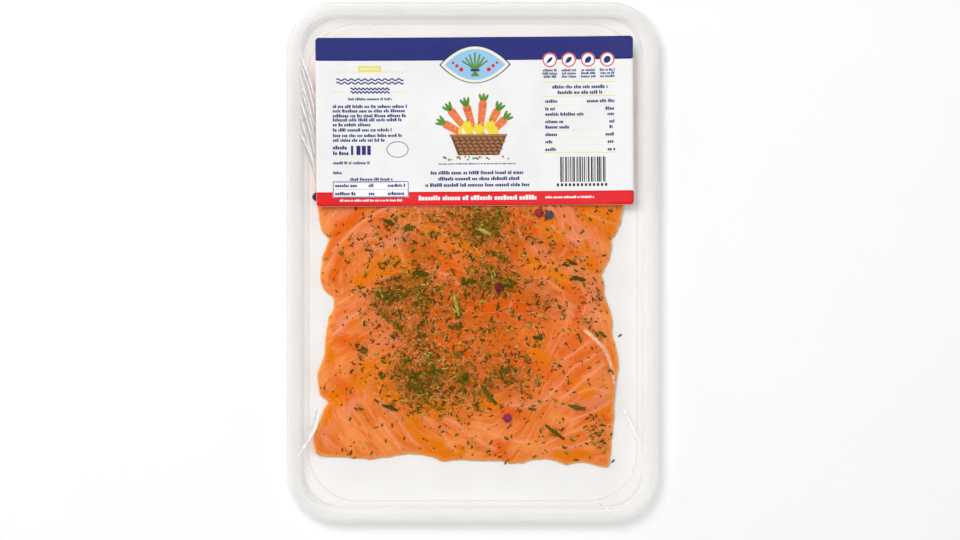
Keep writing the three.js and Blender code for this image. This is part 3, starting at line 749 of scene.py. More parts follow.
def chive_bits():
    """Every chive: place, turn, length, width, thickness and tint. The named ones come first."""
    bits = []
    random = np.random.default_rng(7)
    for x, y, degrees, length, width in LARGE_CHIVES:
        turn = -math.radians(degrees)
        tint = 0.97 if (x, y) in BRIGHT_CHIVES else 0.3 + 0.3 * random.random()
        if length > LONG_CHIVE:
            bits.append((x, y, turn, length, 0.85 * width, 0.9, tint))
            continue
        for side in (-0.3, 0.05, 0.35):
            dx = side * length + random.normal(0, 0.5)
            dy = random.normal(0, 0.7)
            askew = turn + random.normal(0, 0.7)
            bits.append((x + dx, y + dy, askew, 0.55 * length, 0.6 * width, 0.7, tint))
    for x, y in LOOSE_CHIVES:
        bits.append((x, y, random.uniform(0, math.pi), 2.4, 0.9, 0.5, 0.5))
    for x, y in CHIVE_CLUMPS:
        for _ in range(CLUMP_BITS):
            dx, dy = random.normal(0, 1.5, 2)
            turn = random.uniform(0, math.pi)
            length = random.uniform(1.6, 3.4)
            bits.append((x + dx, y + dy, turn, length, 1.1, 0.6, random.uniform(0.15, 0.7)))
    for _ in range(CHIVE_CLUSTERS):
        x, y = chive_place(random)
        count = 2 + int(9 * chive_weight(x, y) * random.random())
        tint = random.random()
        bits += [fine_bit(x, y, 0.9 + 0.08 * count, tint, random) for _ in range(count)]
    while len(bits) < CHIVE_COUNT:
        bits.append(fine_bit(*chive_place(random), 0.0, random.random(), random))
    return bits


def chive_stain(bits):
    """How much of the flesh around each place is under chives, on the raster."""
    cover = np.zeros(GRID_X.shape)
    for x, y, _, length, width, _, _ in bits:
        column = int(round((x - RASTER_X[0]) / RASTER))
        row = int(round((y - RASTER_Y[0]) / RASTER))
        cover[row, column] += length * width / RASTER**2
    return 0.6 * blurred(cover, 1.2) + 0.4 * blurred(cover, 3.0)


def bit_rings(ground, x, y, turn, length, width, thick, random):
    """A chopped length of chive, slightly bent, lying on the ground."""
    rings = []
    bend = random.uniform(-1, 1) * min(0.07 * length, 0.4)
    ends = random.uniform(0.45, 0.95, 2)
    for share, full in ((-1, ends[0]), (-0.4, 1), (0.4, 1), (1, ends[1])):
        side = bend * (1 - share * share)
        along = share * length / 2
        cx = x + along * math.cos(turn) - side * math.sin(turn)
        cy = y + along * math.sin(turn) + side * math.cos(turn)
        z = ground(cx, cy) + 0.32 * thick
        ring = []
        for k in range(CHIVE_SIDES):
            angle = k * 2 * math.pi / CHIVE_SIDES
            out = full * width / 2 * math.cos(angle)
            up = thick / 2 * math.sin(angle)
            ring.append((cx - out * math.sin(turn), cy + out * math.cos(turn), z + up))
        rings.append(ring)
    return rings


def make_chives(bits, ground, fish_rim):
    """All chives that lie on the fish, and the loose ones beside it."""
    random = np.random.default_rng(11)
    tubes = []
    for *shape, tint in bits:
        if sampled(fish_rim, *shape[:2]) >= CHIVE_EDGE_GAP or tuple(shape[:2]) in LOOSE_CHIVES:
            tubes.append((bit_rings(ground, *shape, random), tint))
    return make_tubes("chopped_chives", tubes)


def make_pepper(ground):
    """Dried pink peppercorns, with their thin wrinkled skin."""
    points = []
    faces = []
    tints = []
    sides = 2 * PEPPER_ROWS
    for number, (x, y) in enumerate(PEPPERCORNS):
        phases = np.random.default_rng(40 + number).uniform(0, 6.3, 6)
        centre = np.array([x, y, ground(x, y) + PEPPER_RADIUS - PEPPER_SUNK])
        join_rings(faces, len(points), sides, PEPPER_ROWS + 1)
        for i in range(PEPPER_ROWS + 1):
            polar = math.pi * i / PEPPER_ROWS
            for k in range(sides):
                turn = math.pi * k / PEPPER_ROWS
                wrinkle = 0.05 * math.sin(5 * turn + phases[0] + 3 * polar)
                wrinkle += 0.035 * math.sin(7 * polar + phases[1] + 4 * turn)
                wrinkle += 0.025 * math.sin(11 * turn + 9 * polar + phases[2])
                radius = PEPPER_RADIUS * (0.95 + wrinkle * math.sin(polar))
                flat = radius * math.sin(polar)
                offset = (flat * math.cos(turn), flat * math.sin(turn), radius * math.cos(polar))
                points.append(centre + offset)
                tints.append(number / (len(PEPPERCORNS) - 1))
    return make_object("pink_peppercorns", points, faces, {"tint": tints})


# Film and label


def all_creases():
    """The folds, with the fan of steep ones left of the label: each a white one of painted highlight and
    a grey one of painted shade.
    """
    folds = list(CREASES)
    for number, (high, drop) in enumerate(SIDE_FOLDS):
        bow = 0.6 * math.sin(2.3 * number)
        for tone, width, shift in SIDE_FOLD_HIGHLIGHT_AND_SHADE:
            start = (SIDE_FOLD_X[0], high + shift)
            middle = (SIDE_FOLD_X[1] + bow, high + shift - 0.5 * drop)
            end = (SIDE_FOLD_X[2], high + shift - drop)
            folds.append((tone, width - 0.25 * (number % 2), start, middle, end))
    return folds


def crease_rings(film_top, width, places):
    """A fold that lies on the film, bent through its middle and narrower towards its ends."""
    start, middle, end = np.array(places, float)
    bend = 2 * middle - (start + end) / 2
    rings = []
    for t in np.linspace(0, 1, CREASE_RINGS):
        at = (1 - t) ** 2 * start + 2 * t * (1 - t) * bend + t * t * end
        run = (1 - t) * (bend - start) + t * (end - bend)
        side = np.array([-run[1], run[0]]) / np.linalg.norm(run)
        reach = width / 2 * (0.1 + 0.9 * math.sin(math.pi * t) ** 0.7)
        edges = ((reach, 0.03), (0.0, 0.13), (-reach, 0.03), (0.0, 0.01))
        rings.append([(*(at + out * side), film_top(*at) + up) for out, up in edges])
    return rings


def make_creases(film_top):
    tubes = [(crease_rings(film_top, width, places), tone) for tone, width, *places in all_creases()]
    return make_tubes("film_folds", tubes, smooth=False)


def film_depth(x, y):
    return depth_from(FILM_INSET, FILM_RADIUS, x, y)


def film_height(fish_top, bits):
    """The film's lower face over fish and toppings, sunk from the flange."""
    bumps = fish_top + FILM_OVER_FISH
    for x, y, _, length, _, thick, _ in bits:
        if thick > 0.5:
            near = np.hypot(GRID_X - x, GRID_Y - y) < length / 2
            bumps[near] = np.maximum(bumps[near], fish_top[near] + 0.8 * thick)
    for x, y in PEPPERCORNS:
        away = np.hypot(GRID_X - x, GRID_Y - y)
        near = away < PEPPER_RADIUS
        crown = np.sqrt(PEPPER_RADIUS**2 - away[near] ** 2) + PEPPER_RADIUS - PEPPER_SUNK
        bumps[near] = np.maximum(bumps[near], sampled(fish_top, x, y) + crown)
    inset = inset_at(GRID_X, GRID_Y)
    on_flange = inset < FLANGE_INNER_INSET
    beyond = np.maximum(inset - FILM_SAG_START, 0)
    free = FILM_SAG_Z + (FLANGE_Z - FILM_SAG_Z) * np.exp(-beyond / FILM_SAG_REACH)
    support = np.where(on_flange, FLANGE_Z, np.maximum(bumps, free)) + FILM_GAP
    film = settled(support, *FILM_SETTLE)
    stiff = settled(film, *FILM_STIFF_SETTLE)
    blend = blurred((label_depth(GRID_X, GRID_Y) > -FILM_STIFF_REACH).astype(float), 2.0)
    return np.where(on_flange, FLANGE_Z + FILM_GAP, film * (1 - blend) + stiff * blend)


def to_label(x, y):
    """Places in the label's own axes."""
    dx = x - LABEL_CENTRE[0]
    dy = y - LABEL_CENTRE[1]
    return LABEL_COS * dx + LABEL_SIN * dy, -LABEL_SIN * dx + LABEL_COS * dy


def from_label(x, y):
    """Places in the label's own axes, brought back to the pack's."""
    return (
        LABEL_CENTRE[0] + LABEL_COS * x - LABEL_SIN * y,
        LABEL_CENTRE[1] + LABEL_SIN * x + LABEL_COS * y,
    )


def label_depth(x, y):
    return rounded_depth(*to_label(x, y), LABEL_WIDTH, LABEL_LENGTH, LABEL_RADIUS)


# Shader building


class Graph:
    """A tree of shader nodes. Values are numbers, colours or other nodes' sockets."""

    def __init__(self, tree):
        self.tree = tree

    def node(self, kind, settings=None, **inputs):
        """A node with its settings, and its inputs, named or as i and their number."""
        made = self.tree.nodes.new("ShaderNode" + kind)
        for key, value in (settings or {}).items():
            setattr(made, key, value)
        for key, value in inputs.items():
            numbered = key[0] == "i" and key[1:].isdigit()
            socket = made.inputs[int(key[1:]) if numbered else key.replace("_", " ")]
            if isinstance(value, bpy.types.NodeSocket):
                self.tree.links.new(value, socket)
            else:
                socket.default_value = value
        return made

    def out(self, kind, settings=None, **inputs):
        """The first output of a new node."""
        return self.node(kind, settings, **inputs).outputs[0]

    def math(self, operation, a, b=0.0):
        return self.out("Math", {"operation": operation}, i0=a, i1=b)

    def times(self, a, b):
        return self.math("MULTIPLY", a, b)

    def away(self, value, centre):
        """How far a value is from a centre."""
        return self.math("ABSOLUTE", self.math("SUBTRACT", value, centre))

    def span(self, value, low, high, to_low=0.0, to_high=1.0, kind="SMOOTHSTEP"):
        """The value mapped from one range to another, held at its ends."""
        ends = {"From_Min": low, "From_Max": high, "To_Min": to_low, "To_Max": to_high}
        return self.out("MapRange", {"interpolation_type": kind}, Value=value, **ends)

    def mixed(self, share, a, b):
        return self.node("Mix", {"data_type": "RGBA"}, i0=share, i6=a, i7=b).outputs[2]

    def ramp(self, value, stops):
        """Colours along a value: stops of place and colour."""
        made = self.node("ValToRGB", Fac=value)
        elements = made.color_ramp.elements
        elements[0].position, elements[0].color = stops[0]
        elements[1].position, elements[1].color = stops[-1]
        for position, colour in stops[1:-1]:
            elements.new(position).color = colour
        return made.outputs[0]

    def noise(self, vector, scale, detail=2.0, roughness=0.5):
        made = self.node("TexNoise", Vector=vector, Scale=scale, Detail=detail, Roughness=roughness)
        return made.outputs["Fac"]

    def scaled(self, vector, *factors):
        return self.out("VectorMath", {"operation": "MULTIPLY"}, i0=vector, i1=factors)

    def attribute(self, name, output="Fac"):
        return self.node("Attribute", {"attribute_name": name}).outputs[output]

    def place(self):
        """Place on the pack in millimetres."""
        return self.scaled(self.node("TexCoord").outputs["Object"], 1000, 1000, 1000)

    def bump(self, height, strength, distance):
        return self.out("Bump", Strength=strength, Distance=distance, Height=height)

    def facing(self, **inputs):
        """0 face on, up to 1 at a slant."""
        return self.node("LayerWeight", Blend=0.5, **inputs).outputs["Facing"]

    def sheen(self, least, most, **inputs):
        """Share of light that a clear sheet mirrors: little face on, more at a slant."""
        slant = self.math("POWER", self.facing(**inputs), 5.0)
        return self.span(slant, 0.0, 1.0, least, most, "LINEAR")

    def shared(self, share, a, b):
        """Two shaders mixed."""
        return self.out("MixShader", i0=share, i1=a, i2=b)

    def finish(self, shader):
        self.tree.links.new(shader, self.node("OutputMaterial").inputs["Surface"])

    def principled(self, **inputs):
        self.finish(self.out("BsdfPrincipled", **inputs))


def new_material(name):
    material = bpy.data.materials.new(name)
    material.use_nodes = True
    material.node_tree.nodes.clear()
    return material, Graph(material.node_tree)


# Materials


def clear_plastic():
    """The tray's clear plastic: light passes, the flange and its rolled rim are milky, and it shines.
    Grey lines of painted shade run along its bends, and its steep walls are tinted clearer, painted
    light where they lie in shade.
    """
    material, g = new_material("clear_plastic")
    spots = g.noise(g.place(), 0.05, 3)
    inset = g.attribute("inset")
    colour = g.mixed(g.span(spots, 0.35, 0.7), (0.985, 0.981, 0.978, 1), (0.978, 0.974, 0.969, 1))
    # Painted light: at a slant the plastic is tinted clearer, which lightens its steep walls where they
    # lie in shade
    colour = g.mixed(g.span(g.facing(), 0.5, 0.98), colour, (0.998, 0.997, 0.996, 1))
    # Painted shade: thin grey lines along the bends of the plastic
    for at, reach in BEND_SHADE_LINES:
        bent = g.span(g.away(inset, at), 0.0, reach, 1.0, 0.0)
        colour = g.mixed(bent, colour, (0.925, 0.915, 0.905, 1))
    clear = g.out("BsdfTransparent", Color=colour)
    shine = g.out("BsdfAnisotropic", Color=(1, 1, 1, 1), Roughness=g.span(spots, 0.3, 0.7, 0.1, 0.22))
    glossy = g.shared(g.sheen(0.012, 0.16), clear, shine)
    white = g.out("BsdfDiffuse", Color=MILK_WHITE)
    milk = g.shared(0.5, white, g.out("BsdfTranslucent", Color=MILK_WHITE))
    stops = [(at / MILK_REACH, (share, share, share, 1)) for at, share in MILKINESS]
    g.finish(g.shared(g.ramp(g.math("DIVIDE", inset, MILK_REACH), stops), glossy, milk))
    return material


def film_material():
    """Clear film: nearly unseen, with a faint haze and shine."""
    material, g = new_material("clear_film")
    where = g.place()
    bump = g.bump(g.noise(where, 0.12), 0.3, 0.0004)
    haze = g.span(g.noise(where, 0.04), 0.35, 0.65)
    colour = g.mixed(haze, (0.999, 0.999, 0.998, 1), (0.994, 0.994, 0.992, 1))
    clear = g.out("BsdfTransparent", Color=colour)
    shine = g.out("BsdfAnisotropic", Color=(1, 1, 1, 1), Roughness=0.2, Normal=bump)
    g.finish(g.shared(g.sheen(0.001, 0.14, Normal=bump), clear, shine))
    return material


def fold_highlight_and_shade_material():
    """Folds of the film in painted light: white for a painted highlight on the whitened film, grey for
    painted shade where they turn from the light.
    """
    material, g = new_material("film_fold")
    broken = g.span(g.noise(g.place(), 0.3), 0.3, 0.6, 0.35, 0.85)
    colour = g.mixed(g.attribute("tint"), (0.5, 0.49, 0.48, 1), (0.99, 0.99, 0.99, 1))
    clear = g.out("BsdfTransparent", Color=(1, 1, 1, 1))
    g.finish(g.shared(broken, clear, g.out("BsdfDiffuse", Color=colour)))
    return material


def fish_material():
    """Smoked salmon: orange flesh with fibres, pale fat lines, saturated patches and herb dust, with
    painted light on it: a lighter edge, pale specks of painted film haze, painted glints and a painted
    highlight on the pale arc.
    """
    material, g = new_material("smoked_salmon")
    span, times, noise = g.span, g.times, g.noise
    where = g.place()
    flow = g.attribute("grain", "Vector")
    rim, fat, stain, arc = (g.attribute(name) for name in ("rim", "fat", "stain", "arc"))
    herb_zone = g.math("MAXIMUM", span(stain, 0.02, 0.3), g.attribute("herbal"))

    # Noises, the long ones drawn out along the muscle
    clouds = noise(where, 0.05)
    patches = noise(where, 0.14)
    mottle = noise(where, 0.55, 3, 0.6)
    soft = noise(g.scaled(flow, 0.17, 0.035, 1.0), 1.0, 1)
    bands = noise(g.scaled(flow, 0.42, 0.035, 1.0), 1.0, 1)
    fibres = noise(g.scaled(flow, 1.2, 0.08, 1.0), 1.0)
    fine = noise(g.scaled(flow, 2.6, 0.25, 1.0), 1.0, 2, 0.6)
    turned = g.out("VectorRotate", Vector=where, Angle=0.3)
    glints = noise(g.scaled(turned, 1.5, 0.2, 1.0), 1.0, 1, 0.4)
    crumbs = g.math("ADD", noise(where, 0.9, 3, 0.6), times(stain, 0.25))

    # Bands of muscle, one after another away from the middle of the rings
    across = g.node("SeparateXYZ", Vector=flow).outputs["X"]
    wander = g.math("ADD", across, times(noise(where, 0.06, 1, 0.4), 12.0))
    phase = g.math("FRACT", g.math("DIVIDE", wander, MUSCLE_BAND))
    shown = times(span(patches, 0.4, 0.6, 0.15, 1.0), span(across, 6.0, 22.0))
    seam = span(g.away(phase, 0.05), 0.0, 0.07, 0.25, 0.0)
    uneven = g.math("ADD", *(times(g.math("SUBTRACT", part, 0.5), 1.6) for part in (bands, patches)))
    tones = [
        (span(g.math("ADD", g.attribute(name), uneven), 0.1, 0.95, 0, most), colour)
        for name, (most, colour) in TONE_COLOURS.items()
    ]
    fat_core = span(fat, 0.0, 1.1, 0.42, 0.0)
    broken = span(noise(where, 0.5, 3), 0.35, 0.6, 0.5, 1.0)

    # Layers of colour from the lowest to the topmost: share and colour
    layers = [
        (span(soft, 0.45, 0.65, 0, 0.5), (236, 136, 78)),
        (span(bands, 0.5, 0.7, 0, 0.5), (238, 142, 90)),
        (span(bands, 0.32, 0.48, 0.5, 0), (220, 100, 2)),
        (times(span(phase, 0.05, 0.8, 0.6, 0.0), shown), (234, 140, 88)),
        (span(fibres, 0.52, 0.76, 0, 0.35), (248, 172, 124)),
        (span(fibres, 0.3, 0.46, 0.25, 0), (214, 94, 0)),
        (span(fine, 0.55, 0.75, 0, 0.22), (248, 172, 124)),
        *tones,
        # Painted light: the flesh is made lighter towards the fish's edge, to offset the shade on its
        # steep slope
        (span(rim, 0.0, 3.2, 0.55, 0.0), (248, 156, 76)),
        (span(rim, 0.0, 0.9, 0.7, 0.0), (255, 190, 130)),
        (times(seam, shown), (248, 172, 124)),
        (span(fat, 0.4, 3.6, 0.28, 0.0), (236, 142, 98)),
        (fat_core, (250, 176, 130)),
        # Painted highlight, with the fat under it: a bright broken arc along the edge two slices share
        (times(span(arc, 0.1, 1.6, 0.95, 0.0), broken), (252, 210, 184)),
        # Painted light: pale pink specks among the herbs stand for film haze and highlights; the darker
        # specks below are the flesh's own
        (times(span(mottle, 0.5, 0.64, 0, 0.7), herb_zone), (228, 144, 100)),
        (times(span(mottle, 0.34, 0.48, 0.55, 0), herb_zone), (196, 84, 6)),
        # Painted glints of the film: short pale streaks among the herbs
        (times(span(glints, 0.66, 0.74, 0, 0.7), herb_zone), (246, 180, 140)),
        (span(stain, 0.06, 0.7, 0, 0.35), (150, 82, 8)),
        (times(span(crumbs, 0.57, 0.68, 0, 0.55), herb_zone), (120, 78, 14)),
    ]
    colour = g.mixed(span(clouds, 0.4, 0.6), srgb(224, 112, 18), srgb(231, 122, 46))
    for share, target in layers:
        colour = g.mixed(share, colour, srgb(*target))

    height = g.math("ADD", fibres, times(fine, 0.5))
    height = g.math("SUBTRACT", height, times(fat_core, 0.35))
    g.principled(
        Base_Color=colour,
        Roughness=span(fibres, 0.3, 0.7, 0.4, 0.6),
        Subsurface_Weight=0.25,
        Subsurface_Radius=(0.0025, 0.0011, 0.0005),
        Subsurface_Scale=1.0,
        Specular_IOR_Level=0.04,
        Normal=g.bump(height, 0.35, 0.0004),
    )
    return material


def speckled(name, tones, dark, cover, grains, bump, rough, gloss):
    """A topping's skin: its own tone out of several, with dark specks and a fine relief."""
    material, g = new_material(name)
    specks = g.noise(g.place(), *grains)
    own = g.ramp(g.attribute("tint"), [(at, srgb(*tone)) for at, tone in tones])
    g.principled(
        Base_Color=g.mixed(g.span(specks, 0.35, 0.7, 0, cover), own, srgb(*dark)),
        Roughness=g.span(specks, 0.3, 0.7, *rough),
        Specular_IOR_Level=gloss,
        Normal=g.bump(specks, *bump),
    )
    return material


def printed(name, colour, roughness=0.38):
    """Coated label paper or ink on it: a faint cloudiness and fibre relief."""
    material, g = new_material(name)
    where = g.place()
    clouds = g.noise(where, 0.06, 3)
    fibres = g.noise(where, 2.2, 3)
    light = srgb(*colour)
    dark = (*(0.93 * c for c in light[:3]), 1.0)
    shade = g.mixed(g.span(clouds, 0.35, 0.7, 0, 0.7), light, dark)
    g.principled(
        Base_Color=g.mixed(g.span(fibres, 0.4, 0.8, 0, 0.4), shade, dark),
        Roughness=g.span(clouds, 0.3, 0.7, roughness, roughness + 0.1),
        Normal=g.bump(fibres, 0.12, 0.0001),
    )
    return material


def floor_material():
    material, g = new_material("floor")
    colour = g.mixed(g.noise(g.place(), 0.02), (0.92, 0.92, 0.92, 1), (0.9, 0.9, 0.9, 1))
    g.principled(Base_Color=colour, Roughness=0.9, Specular_IOR_Level=0.0)
    return material


# The label's print


class Print:
    """Thin printed shapes of one ink, lying on the label. Places are in the label's own axes."""

    def __init__(self, ground):
        self.ground = ground
        self.points = []
        self.faces = []

    def lift(self, x, y, level):
        """A place on the label, raised above it by a number of print's thicknesses."""
        px, py = from_label(x, y)
        return px, py, self.ground(px, py) + PRINT_T * level

    def patch(self, rows, level):
        """A closed thin plate over a grid of places: rows of equal length."""
        first = len(self.points)
        wide = len(rows[0])
        count = wide * len(rows)
        for height in (level, level - 0.95):
            self.points += [self.lift(x, y, height) for row in rows for x, y in row]

        def at(i, j, low=0):
            return first + low * count + j * wide + i

        last = len(rows) - 1
        for j in range(last):
            for i in range(wide - 1):
                self.faces.append((at(i, j), at(i + 1, j), at(i + 1, j + 1), at(i, j + 1)))
                self.faces.append((at(i, j + 1, 1), at(i + 1, j + 1, 1), at(i + 1, j, 1), at(i, j, 1)))
        loop = [(i, 0) for i in range(wide - 1)] + [(wide - 1, j) for j in range(last)]
        loop += [(i, last) for i in range(wide - 1, 0, -1)] + [(0, j) for j in range(last, 0, -1)]
        for a, b in zip(loop, loop[1:] + loop[:1]):
            self.faces.append((at(*b), at(*a), at(*a, 1), at(*b, 1)))

    def box(self, x0, y0, x1, y1, level=1):
        self.quad((x0, y0), (x1, y0), (x1, y1), (x0, y1), level)

    def quad(self, a, b, c, d, level=1):
        """A filled shape between two edges, a to b and d to c, in small enough steps to lie close."""
        a, b, c, d = (np.array(p, float) for p in (a, b, c, d))
        lines = max(1, int(max(np.linalg.norm(d - a), np.linalg.norm(c - b)) / PRINT_STEP))
        columns = max(1, int(max(np.linalg.norm(b - a), np.linalg.norm(c - d)) / PRINT_STEP))
        rows = []
        for v in np.linspace(0, 1, lines + 1):
            start = a + (d - a) * v
            end = b + (c - b) * v
            rows.append([start + (end - start) * u for u in np.linspace(0, 1, columns + 1)])
        self.patch(rows, level)

    def ribbon(self, points, width, level=1, closed=False):
        """A band of one width along a route."""
        route = np.array(points, float)
        before = np.roll(route, 1, axis=0) if closed else np.vstack([route[:1], route[:-1]])
        after = np.roll(route, -1, axis=0) if closed else np.vstack([route[1:], route[-1:]])
        run = after - before
        run /= np.linalg.norm(run, axis=1)[:, None]
        side = np.stack([-run[:, 1], run[:, 0]], 1) * width / 2
        if closed:
            route = np.vstack([route, route[:1]])
            side = np.vstack([side, side[:1]])
        self.patch([route - side, route + side], level)

    def oval(self, x, y, rx, ry, width, level=1):
        """The line around an ellipse."""
        angles = np.linspace(0, 2 * math.pi, OVAL_POINTS, endpoint=False)
        self.ribbon([(x + rx * math.cos(a), y + ry * math.sin(a)) for a in angles], width, level, True)

    def disc(self, x, y, rx, ry, level=1, turn=0.0):
        """A filled ellipse."""
        angles = np.linspace(0, 2 * math.pi, DISC_POINTS)
        cos = math.cos(turn)
        sin = math.sin(turn)
        rows = []
        for share in np.linspace(1.0, 0.02, max(2, int(max(rx, ry) / PRINT_STEP) + 1)):
            dx = share * rx * np.cos(angles)
            dy = share * ry * np.sin(angles)
            rows.append(list(zip(x + dx * cos - dy * sin, y + dx * sin + dy * cos)))
        self.patch(rows, level)

    def lens(self, x, y, half_width, half_height, level):
        """A filled pointed oval."""
        across = np.linspace(-1, 1, 2 * int(half_width / PRINT_STEP) + 2)
        rows = []
        for v in np.linspace(-1, 1, 2 * int(half_height / PRINT_STEP) + 2):
            rows.append([(x + half_width * u, y + half_height * v * (1 - 0.97 * u * u)) for u in across])
        self.patch(rows, level)

    def words(self, x0, x1, y, height, seed, centred=False, level=1):
        """A row of small blocks, grouped as words are, where a line of small print would be."""
        random = np.random.default_rng(seed)
        blocks = []
        at = 0.0
        while at <= x1 - x0:
            for _ in range(random.integers(2, 9)):
                wide = height * random.uniform(0.3, 0.6)
                tall = height * (0.72 if random.random() < 0.7 else 1.0)
                blocks.append((at, wide, tall))
                at += wide + 0.13 * height
            at += 0.4 * height
        blocks = [block for block in blocks if block[0] + block[1] <= x1 - x0]
        slack = x1 - x0 - blocks[-1][0] - blocks[-1][1]
        first = x0 + (slack / 2 if centred else 0)
        for start, wide, tall in blocks:
            low = y - height / 2
            self.box(first + start, low, first + start + wide, low + tall, level)


def print_field(name, ink, ground, side):
    """A field of colour over one end of the label. side says how far inside the field a place is."""

    def depth(x, y):
        return np.minimum(label_depth(x, y) - FIELD_INSET, side(to_label(x, y)[1]))

    piece = thin_sheet(name, LABEL_STEP, depth, raised(ground, PRINT_T), raised(ground, PRINT_GAP))
    dress(piece, printed("ink_" + name, INK_COLOURS[ink]))


def print_emblem(inks):
    """A pointed oval across the blue field's edge, with a bunch of chives and peppercorns in it."""
    x, y = 0.4, 30.6
    inks["navy"].lens(x, y, 19.0, 10.0, 2)
    inks["cream"].lens(x, y, 18.2, 9.6, 3)
    inks["sky"].lens(x, y, 16.0, 8.2, 4)
    for turn in (-40, -27, -14, 0, 13, 26, 39):
        angle = math.radians(90 - turn)
        reach = 12.6 - 0.05 * abs(turn)
        foot = (x - 0.05 * turn, y - 6.2)
        bend = (x + 0.35 * reach * math.cos(angle), y - 1.0)
        tip = (x + reach * math.cos(angle), foot[1] + reach * math.sin(angle))
        inks["green"].ribbon([foot, bend, tip], 0.9, 5)
    inks["navy"].box(x - 2.4, y - 3.6, x + 2.4, y - 2.4, 6)
    for side in (-1, 1):
        for out, up, size in ((7.4, -2.6, 1.1), (9.8, -0.6, 0.9), (11.8, 1.0, 0.7)):
            inks["red"].disc(x + side * out, y + up, size, size, 5)


def print_signs(inks):
    """Four round signs with plain shapes, and small print under them."""
    navy = inks["navy"]
    y = 32.75
    for number, x in enumerate((40.6, 50.8, 61.2, 71.4)):
        inks["white"].disc(x, y, 3.9, 3.9, 2)
        inks["red"].oval(x, y, 3.5, 3.5, 0.62, 3)
        navy.disc(x, y, 2.0, 0.8 + 0.3 * number, 3, 0.8)
        navy.ribbon([(x - 1.9, y - 1.9), (x + 1.2, y + 1.2)], 0.35, 4)
        for row in range(3):
            navy.words(x - 4, x + 4, 27.3 - 1.7 * row, 1.35, 100 + 4 * number + row, True)


def print_left_column(inks):
    """Title place, rows of small print, an empty oval and a framed table."""
    navy, white, yellow = (inks[name] for name in ("navy", "white", "yellow"))
    left, right = LEFT_COLUMN
    middle = (left + right) / 2
    yellow.box(left, 26.8, right, 27.1)
    yellow.box(-62.6, 27.1, -50.2, 30.2)
    white.words(-61.6, -51.2, 28.6, 0.8, 5, True, 2)
    for row, reach in ((21.9, 18.0), (17.0, 10.5)):
        for lift in (-0.9, 0.9):
            heights = [row + lift + 0.55 * math.sin(1.3 * k) for k in range(-24, 25)]
            navy.ribbon([(middle + reach * k / 24, y) for k, y in enumerate(heights, -24)], 0.75)
    yellow.box(left, 16.1, left + 7, 16.4)
    yellow.box(right - 7, 16.1, right, 16.4)
    navy.words(middle - 12, middle + 12, 12.5, 1.4, 21, True)
    rows = ((8.5, 0), (6.1, 1), (3.5, 0), (1.3, 2), (-1.3, 20), (-4.1, 8), (-7.1, 3), (-9.6, 12))
    for seed, (y, short) in enumerate(rows, 30):
        navy.words(left, right - short, y, 1.75, seed)
    navy.words(left, left + 9, -13.6, 2.0, 41)
    navy.words(left, left + 9, -16.6, 2.0, 42)
    for k, width in enumerate((1.2, 2.2, 2.2, 1.9)):
        x = left + 9.6 + 2.9 * k
        navy.box(x, -17.6, x + width, -12.6)
    navy.oval(-41.6, -14.7, 5.7, 4.2, 0.35)
    navy.words(left, left + 20, -21.8, 1.5, 44)
    navy.words(left, left + 5, -27.1, 1.5, 45)
    navy.words(left + 9, right - 8, -30.6, 1.6, 46)
    white.box(left - 0.3, -40.5, right + 0.3, -31.7, 2)
    frame_lines = [(left, -40.2), (right, -40.2), (right, -32.0), (left, -32.0)]
    for a, b in zip(frame_lines, frame_lines[1:] + frame_lines[:1]):
        navy.ribbon([a, b], 0.35, 3)
    for k in range(27):
        navy.box(left + 1.5 * k, -36.2, left + 1.5 * k + 0.8, -35.95, 3)
    for row, y in enumerate((-34.0, -38.3)):
        for k, (x, width) in enumerate(((left + 1, 12), (left + 19, 3), (right - 11, 10))):
            navy.words(x, x + width, y, 1.8, 50 + 3 * row + k, False, 3)
    white.words(left + 3, right - 3, -42.0, 1.2, 60, True, 2)


def print_right_column(inks):
    """A table of small print with its rules, and bars under it."""
    navy = inks["navy"]
    yellow = inks["yellow"]
    left, right = RIGHT_COLUMN
    middle = (left + right) / 2
    for half, heights in ((0.2, (20.9, 13.4, -17.0)), (0.08, (8.4, 1.9, -5.0, -9.0, -12.9))):
        for y in heights:
            yellow.box(left, y - half, right, y + half)
    navy.words(middle - 15, middle + 15, 18.4, 1.9, 70, True)
    navy.words(middle - 12, middle + 12, 15.4, 1.9, 71, True)
    rows = (
        (10.7, 8, 15), (6.6, 7, 5), (3.7, 22, 4), (-0.3, 11, 3),
        (-3.2, 14, 3), (-7.2, 8, 5), (-11.1, 5, 4), (-15.2, 8, 4),
    )
    for number, (y, entry, value) in enumerate(rows):
        navy.words(left + 1, left + entry, y, 1.8, 80 + number)
        navy.words(right - value - 1, right - 0.8, y, 1.8, 90 + number)
    print_bars(inks["black"])


def print_bars(ink):
    """A made-up run of bars, with a row of squares under it."""
    random = np.random.default_rng(3)
    x = 45.9
    while x < 70.4:
        width = 0.27 * random.integers(1, 4)
        ink.box(x, -32.8, min(x + width, 70.7), -19.3)
        x += width + 0.27 * random.integers(1, 4)
    for k in range(13):
        start = 44.0 + 2.15 * k
        ink.box(start, -35.1, start + 1.2, -33.6)


